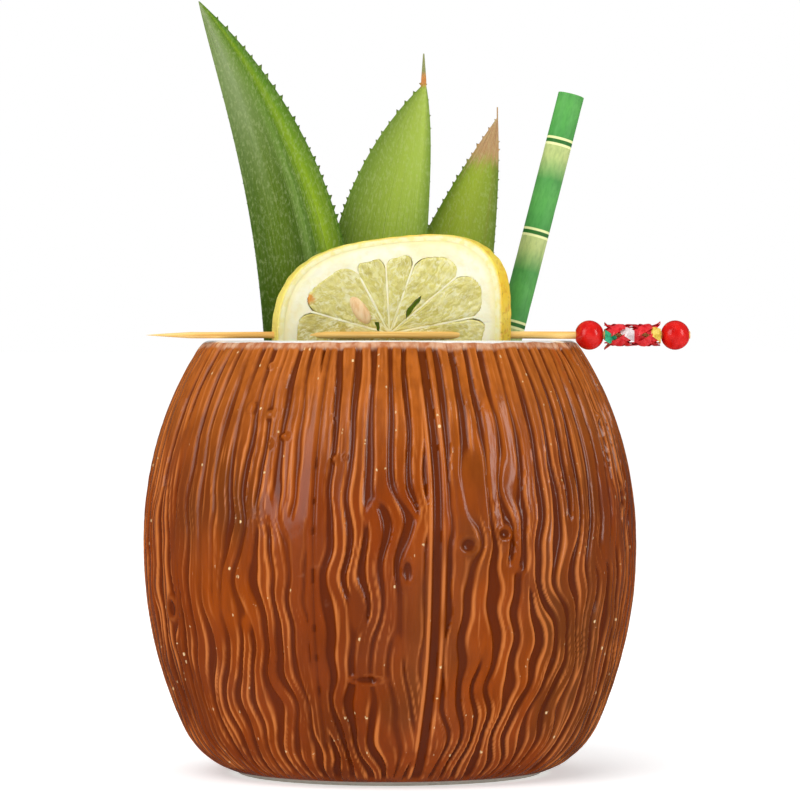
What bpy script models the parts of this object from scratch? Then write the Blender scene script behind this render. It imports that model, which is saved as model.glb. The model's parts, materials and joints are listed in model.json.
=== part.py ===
"""A coconut-shaped tiki mug, dressed with its garnish.

The mug is one slip-cast, glazed piece. A paper straw and three pineapple leaves stand inside it, and
a bowed lemon wheel hangs in its mouth on a bamboo pick that rests across the lip.
Metres, +Z up, +X to the right, front towards -Y. The origin is the middle of the mug's flat base.
"""

import math

import bmesh
import bpy
from mathutils import Euler, Vector

GAP = 0.0003  # clearance left between pieces that touch

# Mug
MUG_HEIGHT = 0.0965
MUG_RADIUS = 0.055  # at the belly
BELLY_HEIGHT = 0.0517
LIP_RADIUS = 0.0414  # outside of the side, where the lip's rounding begins
LOWER_REACH = 0.0763  # half height of the ellipse that the side follows below the belly
CORNER_RADIUS = 0.020  # of the turn from the side to the foot
CORNER_TURN = math.radians(-70)  # where that turn ends, from the horizontal
FOOT_HEIGHT = 0.0008  # bare band under the glaze
FOOT_INSET = 0.0013
MUG_WALL = 0.0045
MUG_FLOOR = 0.006
MUG_STEPS = 48

# Straw
STRAW_DIAMETER = 0.006
STRAW_WALL = 0.0004
STRAW_LENGTH = 0.1507
STRAW_SIDE = math.radians(40)  # where it leans on the lip, turned from +X towards +Y
STRAW_LEAN_RIGHT = math.radians(14.45)
STRAW_LEAN_BACK = math.radians(3.9)

# Pick, its beads and its braid
PICK_DIAMETER = 0.0018
PICK_LENGTH = 0.1202
PICK_POINT = 0.010  # length of the sharpened end
PICK_TAPER = 0.8  # width where that end begins over the width at the tail
PICK_Y = -0.014
PICK_TAIL = 0.0003  # how far the pick shows past its outer bead
BEAD_DIAMETER = 0.0065
BEAD_LENGTH = 0.006
BEAD_STANDOFF = 0.0014  # from the lip to the inner bead
BRAID_LENGTH = 0.01295  # between the two beads
STRIP_WIDTH = 0.0009
STRIP_THICKNESS = 0.0003
WEAVE_DEPTH = 0.00042  # how far a strip swings in and out as it crosses the others
WEAVE_PITCH = 0.024  # length of one full turn of a strip
STRIPS_EACH_WAY = 4

# Lemon wheel
LEMON_HALF_HEIGHT = 0.0213
LEMON_SIDE_CLEARANCE = 0.0077  # from the ends of the wheel to the mouth of the mug
LEMON_RISE = 0.0003  # middle of the wheel above the pick
LEMON_THICKNESS = 0.0047
LEMON_CURL_LEFT = 0.0042  # how far each end curls forward
LEMON_CURL_RIGHT = 0.006
LEMON_TILT = 0.125  # rise of the wheel from left to right
PEEL_THICKNESS = 0.0014
PEEL_SQUARENESS = 3.0
PITH_LEFT = 0.0027
PITH_RIGHT = 0.0025
PITH_TOP = 0.0031
PULP_SQUARENESS = 2.6
MEMBRANE = 0.0008
MEMBRANE_ANGLES = (4, 36, 70, 93, 116, 158, 197, 232, 268, 303, 335)
PIERCED_PULP = (6, 11)  # the two segments that the pick runs through
SEEDED_PULP = 5
SEED_LENGTH = 0.0068
SEED_WIDTH = 0.003
SEED_PLACE = (-0.0068, 0.0064)  # from the middle of the wheel
SEED_LEAN = math.radians(-34)

# Leaves: each stands on the mug's floor, leans a little and sweeps over towards its tip
LEAF_THICKNESS = 0.0009
LEAF_CHANNEL = 0.0022  # depth of the gutter along a full-width leaf
LEAF_LEAN_BACK = 0.05  # run over rise, the same for all three, so that they draw out past each other
LEAF_BEND_BELOW_LIP = 0.0065
LEAF_BASE_SHARE = 0.6  # width at the base over the width at the bend
LEAF_TIP_WIDTH = 0.0005
LEAVES = (
    # name, base x, base y, lean, rise over the lip, sweep, sweep back, sweep power, width, taper, spike
    ("leaf_tall", -0.0098, -0.0075, -0.08, 0.0765, -0.0199, 0.008, 2.4, 0.023, 0.0275, 0.0),
    ("leaf_middle", -0.0090, -0.0010, 0.05, 0.0647, 0.0122, 0.002, 2.5, 0.0244, 0.0209, 0.0074),
    ("leaf_short", 0.0009, 0.0055, 0.08, 0.0530, 0.0129, 0.003, 1.2, 0.040, 0.0531, 0.0025),
)


# ---------------------------------------------------------------- general helpers


def clear_scene():
    for obj in list(bpy.data.objects):
        bpy.data.objects.remove(obj, do_unlink=True)


def new_collection(name, parent):
    collection = bpy.data.collections.new(name)
    parent.children.link(collection)
    return collection


def make_material(name, colour, roughness, metallic=0.0):
    material = bpy.data.materials.new(name)
    material.use_nodes = True
    shader = material.node_tree.nodes["Principled BSDF"]
    shader.inputs["Base Color"].default_value = (*colour, 1)
    shader.inputs["Roughness"].default_value = roughness
    shader.inputs["Metallic"].default_value = metallic
    material.diffuse_color = (*colour, 1)
    return material


def add_object(name, mesh, material, collection, parent=None, location=(0, 0, 0)):
    obj = bpy.data.objects.new(name, mesh)
    if material:
        mesh.materials.append(material)
    collection.objects.link(obj)
    obj.parent = parent
    obj.location = location
    return obj


def add_axis(name, location, collection):
    """An empty on a moving group's axis, which the group's pieces hang from."""
    axis = bpy.data.objects.new(name, None)
    axis.location = location
    axis.empty_display_size = 0.01
    collection.objects.link(axis)
    return axis


def make_cutter(obj):
    obj.hide_render = True
    obj.display_type = "WIRE"


def cut(obj, name, cutter=None, group=None):
    boolean = obj.modifiers.new(name, "BOOLEAN")
    boolean.operation = "DIFFERENCE"
    boolean.solver = "EXACT"
    if group:
        boolean.operand_type = "COLLECTION"
        boolean.collection = group
    else:
        boolean.object = cutter


def smooth(mesh, sharp_over=math.radians(35)):
    mesh.shade_smooth()
    mesh.set_sharp_from_angle(angle=sharp_over)


def sheet_mesh(name, along, across, place):
    """A grid whose point at shares u and v of its two sides is moved to place(u, v)."""
    bm = bmesh.new()
    bmesh.ops.create_grid(bm, x_segments=along, y_segments=across, size=1)
    for vertex in bm.verts:
        u, v = (vertex.co.x + 1) / 2, (vertex.co.y + 1) / 2
        vertex.co = place(u, v)
    bmesh.ops.remove_doubles(bm, verts=bm.verts, dist=1e-6)
    bmesh.ops.triangulate(bm, faces=bm.faces)
    mesh = bpy.data.meshes.new(name)
    bm.to_mesh(mesh)
    bm.free()
    smooth(mesh)
    return mesh


def thicken(obj, thickness, offset):
    solidify = obj.modifiers.new("thickness", "SOLIDIFY")
    solidify.thickness = thickness
    solidify.offset = offset
    solidify.use_even_offset = True


def turned_mesh(name, profile, closed=False):
    """The profile of a turned piece, as (radius, height) points from the top down its outside."""
    edges = [(i, i + 1) for i in range(len(profile) - 1)]
    if closed:
        edges.append((len(profile) - 1, 0))
    mesh = bpy.data.meshes.new(name)
    mesh.from_pydata([(r, 0, z) for r, z in profile], edges, [])
    return mesh


def turn(obj, steps):
    screw = obj.modifiers.new("turned", "SCREW")
    screw.axis = "Z"
    screw.steps = steps
    screw.render_steps = steps
    screw.use_merge_vertices = True
    screw.merge_threshold = 0.00001
    screw.use_smooth_shade = True


def steps_between(first, last, count):
    return [first + (last - first) * i / count for i in range(count + 1)]


# ---------------------------------------------------------------- mug

UPPER_REACH = (MUG_HEIGHT - BELLY_HEIGHT) / math.sqrt(1 - (LIP_RADIUS / MUG_RADIUS) ** 2)


def side_point(z, inset=0.0):
    """The mug's side at height z, or the point that far inside it."""
    reach = UPPER_REACH if z > BELLY_HEIGHT else LOWER_REACH
    rise = z - BELLY_HEIGHT
    radius = MUG_RADIUS * math.sqrt(1 - (rise / reach) ** 2)
    normal = Vector((radius / MUG_RADIUS**2, rise / reach**2)).normalized()
    return Vector((radius, z)) - inset * normal


def side_height(inset, wanted):
    """The height on the side whose point that far inside it lies at the wanted height."""
    z = wanted
    for _ in range(12):
        z += wanted - side_point(z, inset).y
    return z


LIP_START = side_height(MUG_WALL / 2, MUG_HEIGHT - MUG_WALL / 2)
LIP_MIDDLE = side_point(LIP_START, MUG_WALL / 2)
MOUTH_RADIUS = LIP_MIDDLE.x - MUG_WALL / 2
CORNER_START = side_height(CORNER_RADIUS, FOOT_HEIGHT - CORNER_RADIUS * math.sin(CORNER_TURN))
CORNER_MIDDLE = side_point(CORNER_START, CORNER_RADIUS)


def corner_arc(radius, lowest, count):
    """The turn from the side to the base, from its top down to the height lowest."""
    start = side_point(CORNER_START) - CORNER_MIDDLE
    first = math.atan2(start.y, start.x)
    last = math.asin((lowest - CORNER_MIDDLE.y) / radius)
    return [
        CORNER_MIDDLE + radius * Vector((math.cos(a), math.sin(a)))
        for a in steps_between(first, last, count)
    ]


def lip_arc(count):
    start = side_point(LIP_START) - LIP_MIDDLE
    first = math.atan2(start.y, start.x)
    return [
        LIP_MIDDLE + MUG_WALL / 2 * Vector((math.cos(a), math.sin(a)))
        for a in steps_between(first + math.pi, first, count)
    ]


def mug_profile():
    inner_corner = corner_arc(CORNER_RADIUS - MUG_WALL, MUG_FLOOR, 4)
    heights = steps_between(CORNER_START, LIP_START, 12)[1:-1]
    inner_side = [side_point(z, MUG_WALL) for z in heights]
    outer_side = [side_point(z) for z in reversed(heights)]
    outer_corner = corner_arc(CORNER_RADIUS, FOOT_HEIGHT, 6)
    foot_radius = outer_corner[-1].x - FOOT_INSET
    foot = [Vector((foot_radius, FOOT_HEIGHT / 2)), Vector((foot_radius, 0)), Vector((0, 0))]
    inside = [Vector((0, MUG_FLOOR)), *reversed(inner_corner), *inner_side]
    return [*inside, *lip_arc(6), *outer_side, *outer_corner, *foot]


def build_mug(parts):
    glaze = make_material("mug_glaze", (0.23, 0.07, 0.02), 0.18)
    mug = add_object("mug_body", turned_mesh("mug_body", mug_profile()), glaze, parts)
    turn(mug, MUG_STEPS)


# ---------------------------------------------------------------- straw


def build_straw(parts):
    """A tube that stands on the floor and leans on the back right of the lip."""
    paper = make_material("straw_paper", (0.13, 0.42, 0.12), 0.6)
    direction = Vector((math.tan(STRAW_LEAN_RIGHT), math.tan(STRAW_LEAN_BACK), 1))
    reach = MOUTH_RADIUS - STRAW_DIAMETER / 2 / math.cos(STRAW_LEAN_RIGHT) - GAP
    at_lip = Vector((reach * math.cos(STRAW_SIDE), reach * math.sin(STRAW_SIDE), LIP_MIDDLE.y))
    lowest = MUG_FLOOR + GAP + STRAW_DIAMETER / 2 * math.sin(STRAW_LEAN_RIGHT + STRAW_LEAN_BACK)
    foot = at_lip - direction * (at_lip.z - lowest)
    bpy.ops.mesh.primitive_cylinder_add(
        vertices=24, radius=STRAW_DIAMETER / 2, depth=STRAW_LENGTH, end_fill_type="NOTHING"
    )
    straw = bpy.context.object
    straw.name = "paper_straw"
    straw.data.materials.append(paper)
    straw.location = foot + direction.normalized() * STRAW_LENGTH / 2
    straw.rotation_euler = direction.to_track_quat("Z", "Y").to_euler()
    for collection in list(straw.users_collection):
        collection.objects.unlink(straw)
    parts.objects.link(straw)
    smooth(straw.data)
    thicken(straw, STRAW_WALL, -1)


# ---------------------------------------------------------------- pick, beads and braid

PICK_Z = MUG_HEIGHT + PICK_DIAMETER / 2 + GAP
BORE_RADIUS = PICK_DIAMETER / 2 + GAP
INNER_BEAD_X = (
    math.sqrt(side_point(LIP_START).x ** 2 - PICK_Y**2) + BEAD_STANDOFF + BEAD_LENGTH / 2
)
OUTER_BEAD_X = INNER_BEAD_X + BEAD_LENGTH + BRAID_LENGTH
PICK_END_X = OUTER_BEAD_X + BEAD_LENGTH / 2 + PICK_TAIL
ALONG_PICK = Euler((0, math.radians(90), 0))


def build_skewer(parts, axis):
    bamboo = make_material("bamboo", (0.76, 0.49, 0.21), 0.5)
    radius = PICK_DIAMETER / 2
    chamfer = radius / 4
    shoulder = radius * PICK_TAPER
    point = [(shoulder * s**0.85, -PICK_LENGTH + s * PICK_POINT) for s in (1, 0.75, 0.5, 0.25, 0.08)]
    top = [(0, 0), (radius - chamfer, 0), (radius, -chamfer)]
    profile = [*top, *point, (0, -PICK_LENGTH)]
    skewer = add_object(
        "pick_skewer", turned_mesh("pick_skewer", profile), bamboo, parts, axis, (PICK_END_X, 0, 0)
    )
    skewer.rotation_euler = ALONG_PICK
    turn(skewer, 16)


def build_beads(parts, axis):
    red = make_material("bead_red", (0.65, 0.02, 0.015), 0.12)
    widest = math.acos(BORE_RADIUS / (BEAD_DIAMETER / 2))
    profile = [
        (BEAD_DIAMETER / 2 * math.cos(a), BEAD_LENGTH / 2 * math.sin(a) / math.sin(widest))
        for a in steps_between(widest, -widest, 10)
    ]
    for name, x in (("bead_inner", INNER_BEAD_X), ("bead_outer", OUTER_BEAD_X)):
        bead = add_object(name, turned_mesh(name, profile, closed=True), red, parts, axis, (x, 0, 0))
        bead.rotation_euler = ALONG_PICK
        turn(bead, 20)


def build_strip(name, material, parts, axis, hand, number):
    """One ribbon of the braid: it winds one way and passes over and under those of the other way."""
    wind = 2 * math.pi / WEAVE_PITCH
    middle = BORE_RADIUS + WEAVE_DEPTH + STRIP_THICKNESS
    slant = math.atan(wind * middle)
    half_angle = STRIP_WIDTH / 2 / math.cos(slant) / middle
    length = BRAID_LENGTH - 2 * GAP

    def place(u, v):
        x = u * length
        radius = middle + hand * WEAVE_DEPTH * math.cos(STRIPS_EACH_WAY * wind * x)
        turned = hand * wind * x + 2 * math.pi * number / STRIPS_EACH_WAY
        angle = turned + (2 * v - 1) * half_angle
        return (x, radius * math.cos(angle), radius * math.sin(angle))

    start = (INNER_BEAD_X + BEAD_LENGTH / 2 + GAP, 0, 0)
    strip = add_object(name, sheet_mesh(name, 24, 2, place), material, parts, axis, start)
    thicken(strip, STRIP_THICKNESS, 0)


def build_braid(parts, axis):
    red = make_material("strip_red", (0.6, 0.03, 0.02), 0.35)
    green = make_material("strip_green", (0.03, 0.3, 0.08), 0.35)
    silver = make_material("strip_silver", (0.75, 0.75, 0.75), 0.3, 0.7)
    gold = make_material("strip_gold", (0.75, 0.5, 0.12), 0.3, 0.7)
    clockwise = (("gold", gold), ("silver", silver), ("green", green), ("red_1", red))
    other_way = (("red_2", red), ("red_3", red), ("red_4", red), ("red_5", red))
    for hand, strips in ((1, clockwise), (-1, other_way)):
        for number, (name, material) in enumerate(strips):
            build_strip(f"braid_strip_{name}", material, parts, axis, hand, number)


# ---------------------------------------------------------------- lemon wheel

LEMON_FRONT = PICK_DIAMETER / 2 + GAP  # front face of the wheel behind the pick's axis
LEMON_REACH_FORWARD = -PICK_Y - LEMON_FRONT + LEMON_CURL_RIGHT
LEMON_HALF_WIDTH = math.sqrt(MOUTH_RADIUS**2 - LEMON_REACH_FORWARD**2) - LEMON_SIDE_CLEARANCE
PITH_OUTER_WIDTH = LEMON_HALF_WIDTH - PEEL_THICKNESS - GAP
PITH_OUTER_HEIGHT = LEMON_HALF_HEIGHT - PEEL_THICKNESS - GAP


def oval_radius(angle, right, left, height, squareness):
    """Distance from the middle to a squarish oval, whose two ends may differ."""
    width = right if math.cos(angle) > 0 else left
    across = abs(math.cos(angle)) / width
    up = abs(math.sin(angle)) / height
    return (across**squareness + up**squareness) ** (-1 / squareness)


def wheel_point(radius, angle):
    """A point on the wheel's front face, measured from the pick's axis."""
    x = radius * math.cos(angle)
    out = abs(x) / LEMON_HALF_WIDTH
    curl = LEMON_CURL_RIGHT * out**2.4 if x > 0 else LEMON_CURL_LEFT * out**2
    return Vector((x, LEMON_FRONT - curl, radius * math.sin(angle) + LEMON_TILT * x + LEMON_RISE))


def ring_mesh(name, inner_inset, outer_inset, rings):
    """A flat band of the wheel, between two insets from its outline. An inner inset of None fills it."""

    def outline(angle, inset):
        width, height = LEMON_HALF_WIDTH - inset, LEMON_HALF_HEIGHT - inset
        return oval_radius(angle, width, width, height, PEEL_SQUARENESS)

    def place(u, v):
        angle = 2 * math.pi * v
        outer = outline(angle, outer_inset)
        inner = 0 if inner_inset is None else outline(angle, inner_inset)
        return wheel_point(inner + (outer - inner) * u, angle)

    return sheet_mesh(name, rings, 48, place)


def segment_mesh(name, number, grow=0.0):
    """One juicy segment between two membranes, or the slightly larger pocket that it lies in."""
    first = math.radians(MEMBRANE_ANGLES[number - 1])
    last = math.radians(MEMBRANE_ANGLES[number % len(MEMBRANE_ANGLES)])
    if last < first:
        last += 2 * math.pi
    edge = MEMBRANE / 2 + GAP
    tip = edge / math.sin(0.3 * (last - first)) - grow
    right = PITH_OUTER_WIDTH - PITH_RIGHT + grow
    left = PITH_OUTER_WIDTH - PITH_LEFT + grow
    height = PITH_OUTER_HEIGHT - PITH_TOP + grow

    def place(u, v):
        angle = first + (last - first) * v
        rounding = 1 - 0.08 * abs(2 * v - 1) ** 4
        outer = oval_radius(angle, right, left, height, PULP_SQUARENESS) * rounding
        radius = tip + (outer - tip) * u
        inset = math.asin((edge - grow) / radius)
        return wheel_point(radius, first + inset + (last - first - 2 * inset) * v)

    return sheet_mesh(name, 5, 4, place)


def seed_object(name, material, collection, axis, grow=0.0):
    bm = bmesh.new()
    bmesh.ops.create_uvsphere(bm, u_segments=12, v_segments=8, radius=0.5)
    size = Vector((SEED_WIDTH, SEED_WIDTH * 0.75, SEED_LENGTH)) + Vector((2, 2, 2)) * grow
    bmesh.ops.scale(bm, verts=bm.verts, vec=size)
    mesh = bpy.data.meshes.new(name)
    bm.to_mesh(mesh)
    bm.free()
    smooth(mesh)
    x, z = SEED_PLACE
    face = wheel_point(math.hypot(x, z), math.atan2(z, x))
    seed = add_object(name, mesh, material, collection, axis, face + Vector((0, SEED_WIDTH * 0.3, 0)))
    seed.rotation_euler = Euler((0, SEED_LEAN, 0))
    return seed


def pick_channel(cutters, axis):
    """Cutter for the hole that the pick makes through the peel, the pith and two segments."""
    bm = bmesh.new()
    bmesh.ops.create_cone(
        bm,
        cap_ends=True,
        segments=16,
        radius1=BORE_RADIUS,
        radius2=BORE_RADIUS,
        depth=2 * MOUTH_RADIUS,
    )
    mesh = bpy.data.meshes.new("pick_channel")
    bm.to_mesh(mesh)
    bm.free()
    channel = add_object("pick_channel", mesh, None, cutters, axis)
    channel.rotation_euler = ALONG_PICK
    make_cutter(channel)
    return channel


def build_lemon(parts, cutters, axis):
    peel_yellow = make_material("lemon_peel", (0.86, 0.6, 0.08), 0.4)
    pith_white = make_material("lemon_pith", (0.9, 0.83, 0.48), 0.6)
    pulp_yellow = make_material("lemon_pulp", (0.68, 0.62, 0.22), 0.25)
    seed_cream = make_material("lemon_seed", (0.85, 0.68, 0.45), 0.45)
    channel = pick_channel(cutters, axis)
    pockets = new_collection("lemon_pockets", cutters)

    peel = add_object("lemon_peel", ring_mesh("lemon_peel", PEEL_THICKNESS, 0, 1), peel_yellow, parts, axis)
    thicken(peel, LEMON_THICKNESS, -1)
    cut(peel, "pick hole", channel)

    pith_mesh = ring_mesh("lemon_pith", None, PEEL_THICKNESS + GAP, 5)
    pith = add_object("lemon_pith", pith_mesh, pith_white, parts, axis)
    thicken(pith, LEMON_THICKNESS, -1)
    cut(pith, "segment pockets", group=pockets)
    cut(pith, "pick hole", channel)

    seed_object("lemon_seed", seed_cream, parts, axis)
    seed_pocket = seed_object("seed_pocket", None, cutters, axis, GAP)
    make_cutter(seed_pocket)

    for number in range(1, len(MEMBRANE_ANGLES) + 1):
        pocket_name = f"segment_pocket_{number}"
        pocket = add_object(pocket_name, segment_mesh(pocket_name, number, GAP), None, pockets, axis)
        thicken(pocket, 2 * LEMON_THICKNESS, -0.5)
        make_cutter(pocket)
        name = f"lemon_pulp_{number}"
        pulp = add_object(name, segment_mesh(name, number), pulp_yellow, parts, axis)
        thicken(pulp, LEMON_THICKNESS, -1)
        if number in PIERCED_PULP:
            cut(pulp, "pick hole", channel)
        if number == SEEDED_PULP:
            cut(pulp, "seed pocket", seed_pocket)


# ---------------------------------------------------------------- leaves


def build_leaf(parts, material, leaf):
    """A stiff, channelled blade, cut to stand on the floor and drawn out to a fine point."""
    name, base_x, base_y, lean, rise, sweep, sweep_back, power, width, taper, spike = leaf
    base = Vector((base_x, base_y, MUG_FLOOR + GAP))
    height = MUG_HEIGHT + rise - base.z
    bend = MUG_HEIGHT - LEAF_BEND_BELOW_LIP - base.z
    axis = add_axis(f"{name}_axis", base, parts)

    def half_width(z):
        grown = 1 - math.exp(-max(height - z - spike, 0) / taper)
        narrowed = LEAF_BASE_SHARE + (1 - LEAF_BASE_SHARE) * min(z / bend, 1)
        return (LEAF_TIP_WIDTH + width * grown * narrowed) / 2

    def place(u, v):
        z = height * (1 - (1 - v) ** 1.5)
        leant = min(z, height - spike)
        swept = (max(leant - bend, 0) / (height - bend)) ** power
        side = 2 * u - 1
        half = half_width(z)
        gutter = LEAF_CHANNEL * abs(side) ** 1.6 * 2 * half / width
        x = lean * leant + sweep * swept + side * half
        return (x, LEAF_LEAN_BACK * z + sweep_back * swept - gutter, z)

    blade = add_object(name, sheet_mesh(name, 4, 26, place), material, parts, axis)
    thicken(blade, LEAF_THICKNESS, 0)


# ---------------------------------------------------------------- assembly


def build():
    clear_scene()
    scene_root = bpy.context.scene.collection
    parts = new_collection("tiki_mug", scene_root)
    cutters = new_collection("cutters", scene_root)
    build_mug(parts)
    build_straw(parts)
    pick_axis = add_axis("pick_axis", (0, PICK_Y, PICK_Z), parts)
    build_skewer(parts, pick_axis)
    build_beads(parts, pick_axis)
    build_braid(parts, pick_axis)
    build_lemon(parts, cutters, pick_axis)
    leaf_green = make_material("leaf_green", (0.16, 0.24, 0.03), 0.45)
    for leaf in LEAVES:
        build_leaf(parts, leaf_green, leaf)


build()
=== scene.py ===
"""A coconut-shaped tiki mug dressed with its garnish, made in the order that it is put together.

Metres, +Z up, +X to the right, front towards -Y. The origin is the middle of the mug's flat base.
"""

import json
import math

import bmesh
import bpy
import numpy as np
from mathutils import Euler, Matrix, Vector


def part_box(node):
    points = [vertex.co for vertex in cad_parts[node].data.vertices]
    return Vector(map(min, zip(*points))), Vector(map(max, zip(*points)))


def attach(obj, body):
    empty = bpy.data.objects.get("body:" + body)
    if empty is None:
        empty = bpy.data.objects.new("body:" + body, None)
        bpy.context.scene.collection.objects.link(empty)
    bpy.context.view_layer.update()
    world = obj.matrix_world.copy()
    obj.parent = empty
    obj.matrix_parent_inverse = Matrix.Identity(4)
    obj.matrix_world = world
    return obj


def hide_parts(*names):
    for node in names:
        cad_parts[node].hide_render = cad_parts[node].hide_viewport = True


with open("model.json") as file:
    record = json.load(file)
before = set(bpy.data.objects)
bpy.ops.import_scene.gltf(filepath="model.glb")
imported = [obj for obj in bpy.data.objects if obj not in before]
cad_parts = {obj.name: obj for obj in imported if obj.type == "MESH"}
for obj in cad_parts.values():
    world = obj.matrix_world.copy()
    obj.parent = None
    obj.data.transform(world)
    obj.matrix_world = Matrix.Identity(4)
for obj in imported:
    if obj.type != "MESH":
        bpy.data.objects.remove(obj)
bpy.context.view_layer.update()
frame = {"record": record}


# ---------------------------------------------------------------- mug
# One slip-cast stoneware piece, carved all over like the husk of a coconut. Amber glaze pools dark in the
# grooves and breaks pale on their edges. The lip and the inside are glazed white, and the foot is left bare.

_, mug_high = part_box("mug_body")
MUG_HEIGHT = mug_high[2]
MUG_RADIUS = mug_high[0]
BELLY_HEIGHT = 0.0517
LIP_RADIUS = 0.0414
LOWER_REACH = 0.0763
CORNER_RADIUS = 0.020
CORNER_TURN = math.radians(-70)
FOOT_HEIGHT = 0.0008
FOOT_INSET = 0.0013
MUG_WALL = 0.0045
MUG_FLOOR = 0.006
MUG_COLUMNS = 900
BASE_STEPS = (0.02, 0.3, 0.6, 0.85, 0.96, 0.99)  # shares of the foot's radius
FLOOR_STEPS = (0.8, 0.5, 0.2, 0.02)
CORNER_ROWS = 34
OUTSIDE_ROWS = 210
LIP_ROWS = 14
INSIDE_ROWS = 26
GROOVES_ROUND = 76  # grooves met in going once round the mug
GROOVE_DEPTH = 0.75  # millimetres, like all the carving
HIGHEST_BUMP = 0.6
KNOT_DEPTH, KNOT_RIM = 0.65, 0.16
SLIT_DEPTH = 0.7
DRIP_RISE = 0.8
EDGE_RISE = 0.13
UPPER_REACH = (MUG_HEIGHT - BELLY_HEIGHT) / math.sqrt(1 - (LIP_RADIUS / MUG_RADIUS) ** 2)

# Places on the side: degrees right of the front, height in millimetres, then the half width and half height
KNOTS = (
    (17.9, 53.0, 1.5, 1.3), (26.8, 55.3, 1.2, 1.0), (4.1, 47.6, 0.9, 2.0),
    (-62.0, 38.0, 1.4, 1.6), (71.0, 62.0, 1.1, 1.5), (112.0, 44.0, 1.5, 1.3),
    (158.0, 60.0, 1.3, 1.6), (-148.0, 35.0, 1.2, 1.4), (-104.0, 58.0, 1.5, 1.2),
)
POLISHED = ((19.4, 66.0, 3.4, 8.0), (28.6, 67.0, 2.8, 6.0), (-7.5, 40.0, 2.0, 5.0), (128.0, 60.0, 3.2, 8.0))
SLITS = ((-5.3, 24.2, 2.3, 0.7), (140.0, 28.0, 2.2, 0.7))
DRIPS = (
    (-36.9, 82.0, 1.0, 1.1), (-31.0, 80.6, 1.1, 1.0), (-25.6, 76.0, 1.1, 0.6),
    (-29.3, 74.3, 0.6, 0.9), (-12.6, 71.3, 0.6, 0.8), (-10.2, 71.6, 0.5, 0.6),
    (-34.6, 91.0, 0.7, 0.7), (66.0, 80.0, 0.9, 1.1), (175.0, 78.0, 1.0, 1.0),
)
SPLIT_ANGLE = 10.9  # the one straight, wide groove that runs from lip to foot
SEAM_ANGLE = -17.2  # the line that the mould's joint leaves


def side_point(z, inset=0.0):
    """The mug's side at height z, or the point that far inside it, as (radius, height)."""
    reach = UPPER_REACH if z > BELLY_HEIGHT else LOWER_REACH
    rise = z - BELLY_HEIGHT
    radius = MUG_RADIUS * math.sqrt(1 - (rise / reach) ** 2)
    normal = Vector((radius / MUG_RADIUS**2, rise / reach**2)).normalized()
    return Vector((radius, z)) - inset * normal


def side_height(inset, wanted):
    """The height on the side whose point that far inside it lies at the wanted height."""
    z = wanted
    for _ in range(12):
        z += wanted - side_point(z, inset).y
    return z


LIP_START = side_height(MUG_WALL / 2, MUG_HEIGHT - MUG_WALL / 2)
LIP_MIDDLE = side_point(LIP_START, MUG_WALL / 2)
CORNER_START = side_height(CORNER_RADIUS, FOOT_HEIGHT - CORNER_RADIUS * math.sin(CORNER_TURN))
CORNER_MIDDLE = side_point(CORNER_START, CORNER_RADIUS)


def between(first, last, count):
    return [first + (last - first) * i / count for i in range(count + 1)]


def arc(middle, radius, first, last, count):
    return [middle + radius * Vector((math.cos(a), math.sin(a))) for a in between(first, last, count)]


def corner_arc(radius, lowest, count):
    start = side_point(CORNER_START) - CORNER_MIDDLE
    last = math.asin((lowest - CORNER_MIDDLE.y) / radius)
    return arc(CORNER_MIDDLE, radius, math.atan2(start.y, start.x), last, count)


def mug_outline():
    """The turned outline, from the middle of the base up the outside, over the lip and down to the floor."""
    lip_from = side_point(LIP_START) - LIP_MIDDLE
    lip_angle = math.atan2(lip_from.y, lip_from.x)
    corner = corner_arc(CORNER_RADIUS, FOOT_HEIGHT, CORNER_ROWS)[::-1]
    foot_radius = corner[0].x - FOOT_INSET
    base = [Vector((foot_radius * s, 0)) for s in BASE_STEPS]
    foot = [Vector((foot_radius - 0.0001, 0.00008)), Vector((foot_radius, FOOT_HEIGHT * 0.55))]
    outside = [side_point(z) for z in between(CORNER_START, LIP_START, OUTSIDE_ROWS)[1:]]
    lip = arc(LIP_MIDDLE, MUG_WALL / 2, lip_angle, lip_angle + math.pi, LIP_ROWS)[1:]
    inside = [side_point(z, MUG_WALL) for z in between(LIP_START, CORNER_START, INSIDE_ROWS)[1:]]
    inner_corner = corner_arc(CORNER_RADIUS - MUG_WALL, MUG_FLOOR, 8)[1:]
    floor = [Vector((inner_corner[-1].x * s, MUG_FLOOR)) for s in FLOOR_STEPS]
    return [*base, *foot, *corner, *outside, *lip, *inside, *inner_corner, *floor]


def grain(turn, height, around, spread, climb, seed, waves=56):
    """A field of long upright waves that closes up round the mug, as complex numbers of about unit size."""
    draw = np.random.default_rng(seed)
    field = np.zeros(turn.shape, complex)
    for _ in range(waves):
        turns = round(draw.normal(around, spread))
        lean = draw.normal(0, climb)
        field += np.exp(1j * (turns * turn + lean * height + draw.uniform(0, 2 * math.pi)))
    return field / math.sqrt(waves)


def step(low, high, value):
    """A smooth share of the way from low to high, held at 0 and 1."""
    share = np.clip((value - low) / (high - low), 0, 1)
    return share * share * (3 - 2 * share)


def peak(value, at, width):
    """One where the value is at its place, and fading to nothing within about twice the width."""
    return np.exp(-(((value - at) / width) ** 2))


def spot(turn, height, radius, place):
    """Distance from a place on the side, in its own half widths, with its two parts."""
    angle, level, half_width, half_height = place
    away = (turn - math.radians(angle) + math.pi) % (2 * math.pi) - math.pi
    across, up = away * radius / half_width, (height - level) / half_height
    return np.hypot(across, up), across, up


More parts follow.
